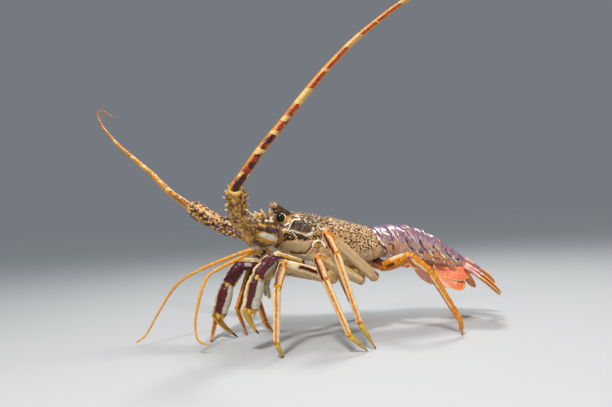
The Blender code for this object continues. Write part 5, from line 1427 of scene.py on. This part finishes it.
def makeTailRing(number):
    borders = tail["borders"][number - 1:number + 1]
    front, rear = (np.array([(*b[0], b[2]), (*b[1], 0)], float) for b in borders)
    under = 0.0 if number == 1 else 0.16  # the part that slides under the ring in front
    share = np.linspace(-under, 1.03 if number < 6 else 1.0, tail["rows"])[:, None]
    turn = circle(tail["cols"])[None, :]
    fromTop = np.abs((turn + math.pi) % (2 * math.pi) - math.pi)
    high = front[0, :2] * (1 - share) + rear[0, :2] * share
    low = front[1, :2] * (1 - share) + rear[1, :2] * share
    half = front[0, 2] * (1 - share) + rear[0, 2] * share
    reach = high - low
    tall = np.linalg.norm(reach, axis=1, keepdims=True)
    up = reach / tall
    wave = 0.955 - 0.03 * rise(share, 0.02, -0.06)
    if number == 6:
        wave = wave + 0.035 * rise(share, 0.0, 0.45) - 0.09 * rise(share, 0.75, 1.0)
    else:
        wave = wave + 0.042 * rise(share, 0.44, 0.6) + 0.004 * rise(share, 0.8, 1.0)
    profile = wave + 0 * turn
    upperSide = rise(fromTop, 2.05, 1.6)
    # the groove across each ring, with a fine second line behind it
    grooveAt = 0.46 + 0.03 * np.cos(turn)
    if number < 6:
        profile = profile - 0.045 * hill(share - grooveAt, 0.035) * upperSide
        profile = profile + 0.012 * hill(share - 0.98, 0.03) * upperSide
    else:
        for spot in (0.3, 0.62):
            profile = profile - 0.02 * hill(share - spot, 0.03) * rise(fromTop, 1.2, 0.9)
    y, z = shellSection(turn + 0 * share, half * profile, tall * 0.6 * profile, tall * 0.4 + 0 * profile)
    middle = low + up * tall * 0.4
    grid = np.stack((middle[:, :1] + up[:, :1] * z, y, middle[:, 1:] + up[:, 1:] * z), axis=-1)
    grid = grid + 0.22 * softNoise(grid, 4.0, number)[..., None] * gridNormals(grid)
    # marks: the drawn ones on both flanks, a painted violet sheen on the back, tan and orange low down
    flank = rise(fromTop, 0.2, 0.4) * rise(fromTop, 2.3, 2.0)
    marks = drawMarks(grid, tail["drawing"], flank)
    cloud = softNoise(grid, 9.0, 30 + number)
    onBack = rise(fromTop + 0.2 * cloud, 0.9, 0.45)
    lowDown = rise(fromTop + 0.2 * cloud, 1.15, 1.6)
    # the violet on the back is a painted bluish sheen of light from above, laid over the ring's own
    # purple-brown
    marks["violet"] = 0.55 * onBack * rise(cloud, -0.4, 0.3) * (1 - marks["pale"])
    addMark(marks, "wash", 0.75 * lowDown)
    marks["warm"] = marks["warm"] * 0.75 * rise(softNoise(grid, 6.0, 14), -0.7, -0.1)
    rim = (number < 6) * rise(fromTop, 2.3, 1.2) * rise(fromTop, 0.1, 0.5)
    addMark(marks, "wash", 0.95 * hill(share - 0.96, 0.035) * rim)
    marks["violet"] = marks["violet"] * (1 - hill(share - 0.96, 0.05) * rim)
    darkLines = 0.6 * hill(share - grooveAt, 0.02) * upperSide + 0.7 * hill(share - 0.9, 0.02) * rim
    addMark(marks, "dark", darkLines)
    forms = [gridForm(grid, fleck=0.5 * upperSide, **marks)]
    shareTip, tipX, tipZ = tail["points"][number - 1]
    between = front * (1 - shareTip) + rear * shareTip
    highAt, lowAt, halfAt = between[0, :2], between[1, :2], between[0, 2]
    root, elbow = lowAt + (highAt - lowAt) * 0.5, lowAt + (highAt - lowAt) * 0.2
    broad = min(8.0, 0.34 * float(np.linalg.norm(rear[0, :2] - front[0, :2])))
    for _, sign in bothSides:
        path = [(root[0], sign * (halfAt - 3.0), root[1]), (elbow[0] + 2, sign * (halfAt + 0.4), elbow[1]),
                (0.4 * elbow[0] + 0.6 * tipX, sign * (halfAt + 0.8), 0.45 * elbow[1] + 0.55 * tipZ),
                (tipX, sign * halfAt, tipZ)]
        grid, t, across, _ = bladeGrid(path, lambda t: broad * (1 - t) ** 0.8 + 0.35,
                                       lambda t: 1.7 * (1 - t) + 0.4, (0, 1, 0), 50, 30)
        grid = grid + 0.15 * softNoise(grid, 2.5, 3)[..., None] * gridNormals(grid)
        edge = rise(np.abs(across), 0.72, 0.95)
        own = {"pale": np.maximum(rise(t, 0.35, 0.55) * edge, rise(t, 0.86, 0.94)),
               "wash": 0.9 * rise(t, 0.3, 0.0),
               "warm": 0.95 * rise(t, 0.3, 0.5) * rise(softNoise(grid, 4.0, 3), -0.6, 0.0),
               "dark": 0.9 * rise(t, 0.15, 0.3) * hill(np.abs(across) - 0.6, 0.12) * rise(t, 0.95, 0.8)}
        forms.append(gridForm(grid, fleck=0.4 * (1 - t), **joinMarks(own, drawMarks(grid, tail["drawing"]))))
        if number < 6:  # small teeth behind the hook
            for k, s in enumerate((0.45, 0.6, 0.74)):
                spot = smoothPath(path, 50)[int(s * 49)] + np.array((broad * (1 - s) ** 0.8 * 0.85, 0, 0.4))
                tip = spot + (1.9 - 0.3 * k, 0, -1.3)
                forms.append(thornForm(spot - (1.2, 0, 0), tip, 0.6, rows=8, sides=8))
    makePiece("tail_ring_%d" % number, forms, surfaces["abdomen"], ["abdomen_%d" % number])


def rounded(t, root, most, peak=0.62):  # half width of a blade that widens to its peak and ends round
    rising = root + (most - root) * np.sin(math.pi / 2 * np.clip(t / peak, 0, 1))
    falling = most * np.sqrt(np.clip(1 - ((t - peak) / (1.015 - peak)) ** 2, 0.0009, 1))
    return np.where(t < peak, rising, falling)


# Tail fan: width as (root, most, share where it is widest), thickness as (root, loss along); hard is the
# share of a blade that is shelly
fan = {
    "telson": {"path": [(197, 0, 92), (214, 0, 80), (232, 0, 66), (246, 0, 53)],
               "width": (12, 15.5, 0.5), "thick": (2.6, 2.0)},
    "inner": {"path": [(191, 15, 86), (204, 22, 75), (220, 30, 59), (233, 36, 43)],
              "width": (5, 12, 0.62), "thick": (2.2, 1.6)},
    "outer": {"path": [(188, 20, 82), (197, 31, 72), (210, 44, 57), (222, 53, 42)],
              "width": (5, 13, 0.62), "thick": (2.2, 1.6)},
    "facing": (0.5, 0, 1), "hard": 0.42, "rays": 15,
    "fringe": {"spacing": 0.6, "length": 2.2, "shape": "bristle", "surface": "bristle", "crowding": 1200000.0,
               "seed": 4},
}


def makeFanBlade(name, node, kind, sign):
    part = fan[kind]
    path = [np.array(p) * (1, sign, 1) for p in part["path"]]
    root, most, peak = part["width"]
    grid, t, across, face = bladeGrid(path, lambda t: rounded(t, root, most, peak),
                                      lambda t: part["thick"][0] - part["thick"][1] * t, fan["facing"],
                                      110, 150, (0.9, 0.42))
    normals = gridNormals(grid)
    hard = rise(t + 0.05 * softNoise(grid, 6.0, 3), fan["hard"] + 0.05, fan["hard"] - 0.03)
    rays = np.cos(across * fan["rays"] * math.pi * (0.9 + 0.1 * t))
    height = (0.34 * rays - 0.12) * (1 - hard) * rise(t, 1.02, 0.9) + 0.3 * hard
    height += hard * (0.5 * hill(across, 0.12) + 0.35 * hill(np.abs(across) - 0.55, 0.08))
    grid = grid + normals * (height * np.sign(np.abs(face)) * rise(np.abs(face), 0.1, 0.5))[..., None]
    edge = rise(np.abs(across), 0.8, 0.95) + rise(t, 0.93, 0.985)
    violet = hard * 0.9 * rise(softNoise(grid, 7.0, 7), -0.3, 0.2)
    seams = 0.9 * hill(np.abs(across) - 0.9, 0.1) + 0.8 * hill(t - fan["hard"], 0.03)
    pale = hard * (seams + hill(across, 0.08) * 0.6)
    dark = 0.25 * (1 - hard) * rise(-rays, 0.7, 1.0) * rise(t, 0.95, 0.7)
    form = gridForm(grid, violet=violet * (1 - 0.7 * pale), pale=pale,
                    warm=0.95 * edge * (1 - hard), dark=dark)
    makePiece(name, form, surfaces["fan"], [node])
    crowd = rise(t, 0.84, 0.95) * rise(np.abs(face), 0.9, 0.6)
    grow(name + "_fringe", grid, normals, fan["fringe"], crowd,
         heading=unit(path[-1] - path[-2]), lift=0.3)


# Leaves under the rings: share of the ring at the root, reach back and down, half width; each lobe is
# turned by an angle
leaves = {
    "reach": {2: (0.7, 15, 9, 6), 3: (0.75, 18, 11, 7), 4: (0.95, 50, 35, 14), 5: (0.9, 45, 35, 13)},
    "lobes": {2: (0.0,), 3: (0.0,), 4: (0.0,), 5: (0.0, 0.36)},
}


def makeLeaf(number, side, sign):  # soft leaf under a ring, rolled a little and ribbed
    front, rear = (np.array(tail["borders"][k][1], float) for k in (number - 1, number))
    root, back, down, broad = leaves["reach"][number]
    x, z = front * (1 - root) + rear * root
    forms = []
    for turn in leaves["lobes"][number]:
        reachX = back * math.cos(turn) + down * math.sin(turn)
        reachZ = down * math.cos(turn) - back * math.sin(turn)
        path = [(x, sign * 13, z + 4), (x + reachX * 0.1, sign * 14, z - reachZ * 0.22),
                (x + reachX * 0.55, sign * 17, z - reachZ * 0.68), (x + reachX, sign * 19, z - reachZ)]
        facing = unit((0.8, sign, 0.1))
        grid, t, across, _ = bladeGrid(path, lambda t: rounded(t, 2.6, broad), lambda t: 1.3 - 0.8 * t,
                                       facing, 70, 90, (0.9, 0.45))
        roll = 0.5 * np.sin(across * 5 + t * 7) * t - 1.6 * (across ** 2) * rise(t, 0.1, 0.5)
        grid = grid + facing * roll[..., None]
        grid = grid + gridNormals(grid) * (0.1 * np.cos(across * 26))[..., None]
        edge = np.clip(rise(np.abs(across), 0.8, 0.96) + rise(t, 0.92, 0.98), 0, 1)
        veins = rise(np.cos(across * 13 + softNoise(grid, 6.0, 2)), 0.5, 0.95) * rise(t, 0.1, 0.3)
        pink = 1.0 if number == 4 else 0.85 * turn
        forms.append(gridForm(grid, warm=edge, wash=pink * (1 - edge),
                              violet=0.35 * veins * (number == 4) * (1 - edge),
                              pale=0.4 * veins * (number == 5) * (1 - edge)))
    node = "pleopod_%d_%s" % (number, side)
    makePiece("leaf_%d_%s" % (number, side), forms, surfaces["leaf"], [node])


for ringNumber in range(1, 7):
    makeTailRing(ringNumber)
makeFanBlade("telson_blade", "telson", "telson", 1)
for side, sign in bothSides:
    for kind in ("inner", "outer"):
        makeFanBlade("fan_%s_%s" % (kind, side), "uropod_%s_%s" % (kind, side), kind, sign)
    for leafNumber in range(2, 6):
        makeLeaf(leafNumber, side, sign)
print("tail ready")


# Plain pale floor, soft studio light, and the camera at the photo's viewing angle
studio = {
    "camera": (-0.20545, -0.75040, 0.160), "forward": (0.2410058, 0.96993055, 0.03392541),
    "right": (0.96958733, -0.23909101, -0.05230583), "up": (0.04262176, -0.04549966, 0.99805469),
    "lens": 32.06, "sensor": 36.0, "sky": (0.6, 0.65, 0.72), "skyStrength": 0.3, "floor": (0.5, 0.5, 0.49),
    "floorReach": 40, "floorRough": 0.75, "sun": (0.65, 0.704, 0.78), "sunFrom": (-0.25, -0.45, 1.0),
    "sunSpread": 0.7,
    # area lights: place, target, size, power
    "softboxes": [((-0.55, -1.0, 1.35), (0, 0, 0.12), 0.25, 24.0),
                  ((0.45, 0.55, 1.45), (0.05, 0, 0.12), 0.5, 13.0),
                  ((1.2, -0.9, 0.7), (0.05, 0, 0.12), 0.8, 4.0)],
}


def lampAxes(away):  # a lamp shines against this direction
    away = unit(away)
    across = unit(np.cross((0, 0, 1), away))
    return Matrix((across, np.cross(away, across), away)).transposed().to_4x4()


def makeStudio():
    ground = bpy.data.meshes.new("floor")
    reach = studio["floorReach"]
    corners = [(reach * x, reach * y, 0) for x, y in ((-1, -1), (1, -1), (1, 1), (-1, 1))]
    ground.from_pydata(corners, [], [(0, 1, 2, 3)])
    paint = bpy.data.materials.new("Floor")
    paint.use_nodes = True
    setInputs(paint.node_tree.nodes["Principled BSDF"],
              {"Base Color": (*studio["floor"], 1.0), "Roughness": studio["floorRough"]})
    ground.materials.append(paint)
    addObject("floor", ground)
    world = bpy.data.worlds.new("Studio")
    world.use_nodes = True
    setInputs(world.node_tree.nodes["Background"],
              {"Color": (*studio["sky"], 1.0), "Strength": studio["skyStrength"]})
    bpy.context.scene.world = world
    sun = bpy.data.lights.new("evenLight", "SUN")  # makes the far floor as bright as the sky
    sun.color = [c / max(studio["sun"]) for c in studio["sun"]]
    sun.energy = max(studio["sun"])
    sun.angle = studio["sunSpread"]
    addObject(sun.name, sun).matrix_world = lampAxes(studio["sunFrom"])
    for number, (place, target, size, power) in enumerate(studio["softboxes"]):
        lamp = bpy.data.lights.new("softbox%d" % number, "AREA")
        lamp.shape = "DISK"
        lamp.size = size
        lamp.energy = power
        turn = lampAxes(np.subtract(place, target))
        addObject(lamp.name, lamp).matrix_world = Matrix.Translation(place) @ turn
    lens = bpy.data.cameras.new("camera")
    lens.lens = studio["lens"]
    lens.sensor_width = studio["sensor"]
    camera = addObject("camera", lens)
    axes = Matrix((studio["right"], studio["up"], -np.array(studio["forward"]))).transposed().to_4x4()
    camera.matrix_world = Matrix.Translation(studio["camera"]) @ axes
    bpy.context.scene.camera = camera
    bpy.context.scene.view_settings.view_transform = "Standard"


makeStudio()
for shape in growthShapes.values():
    bpy.data.objects.remove(shape)

print("scene ready")
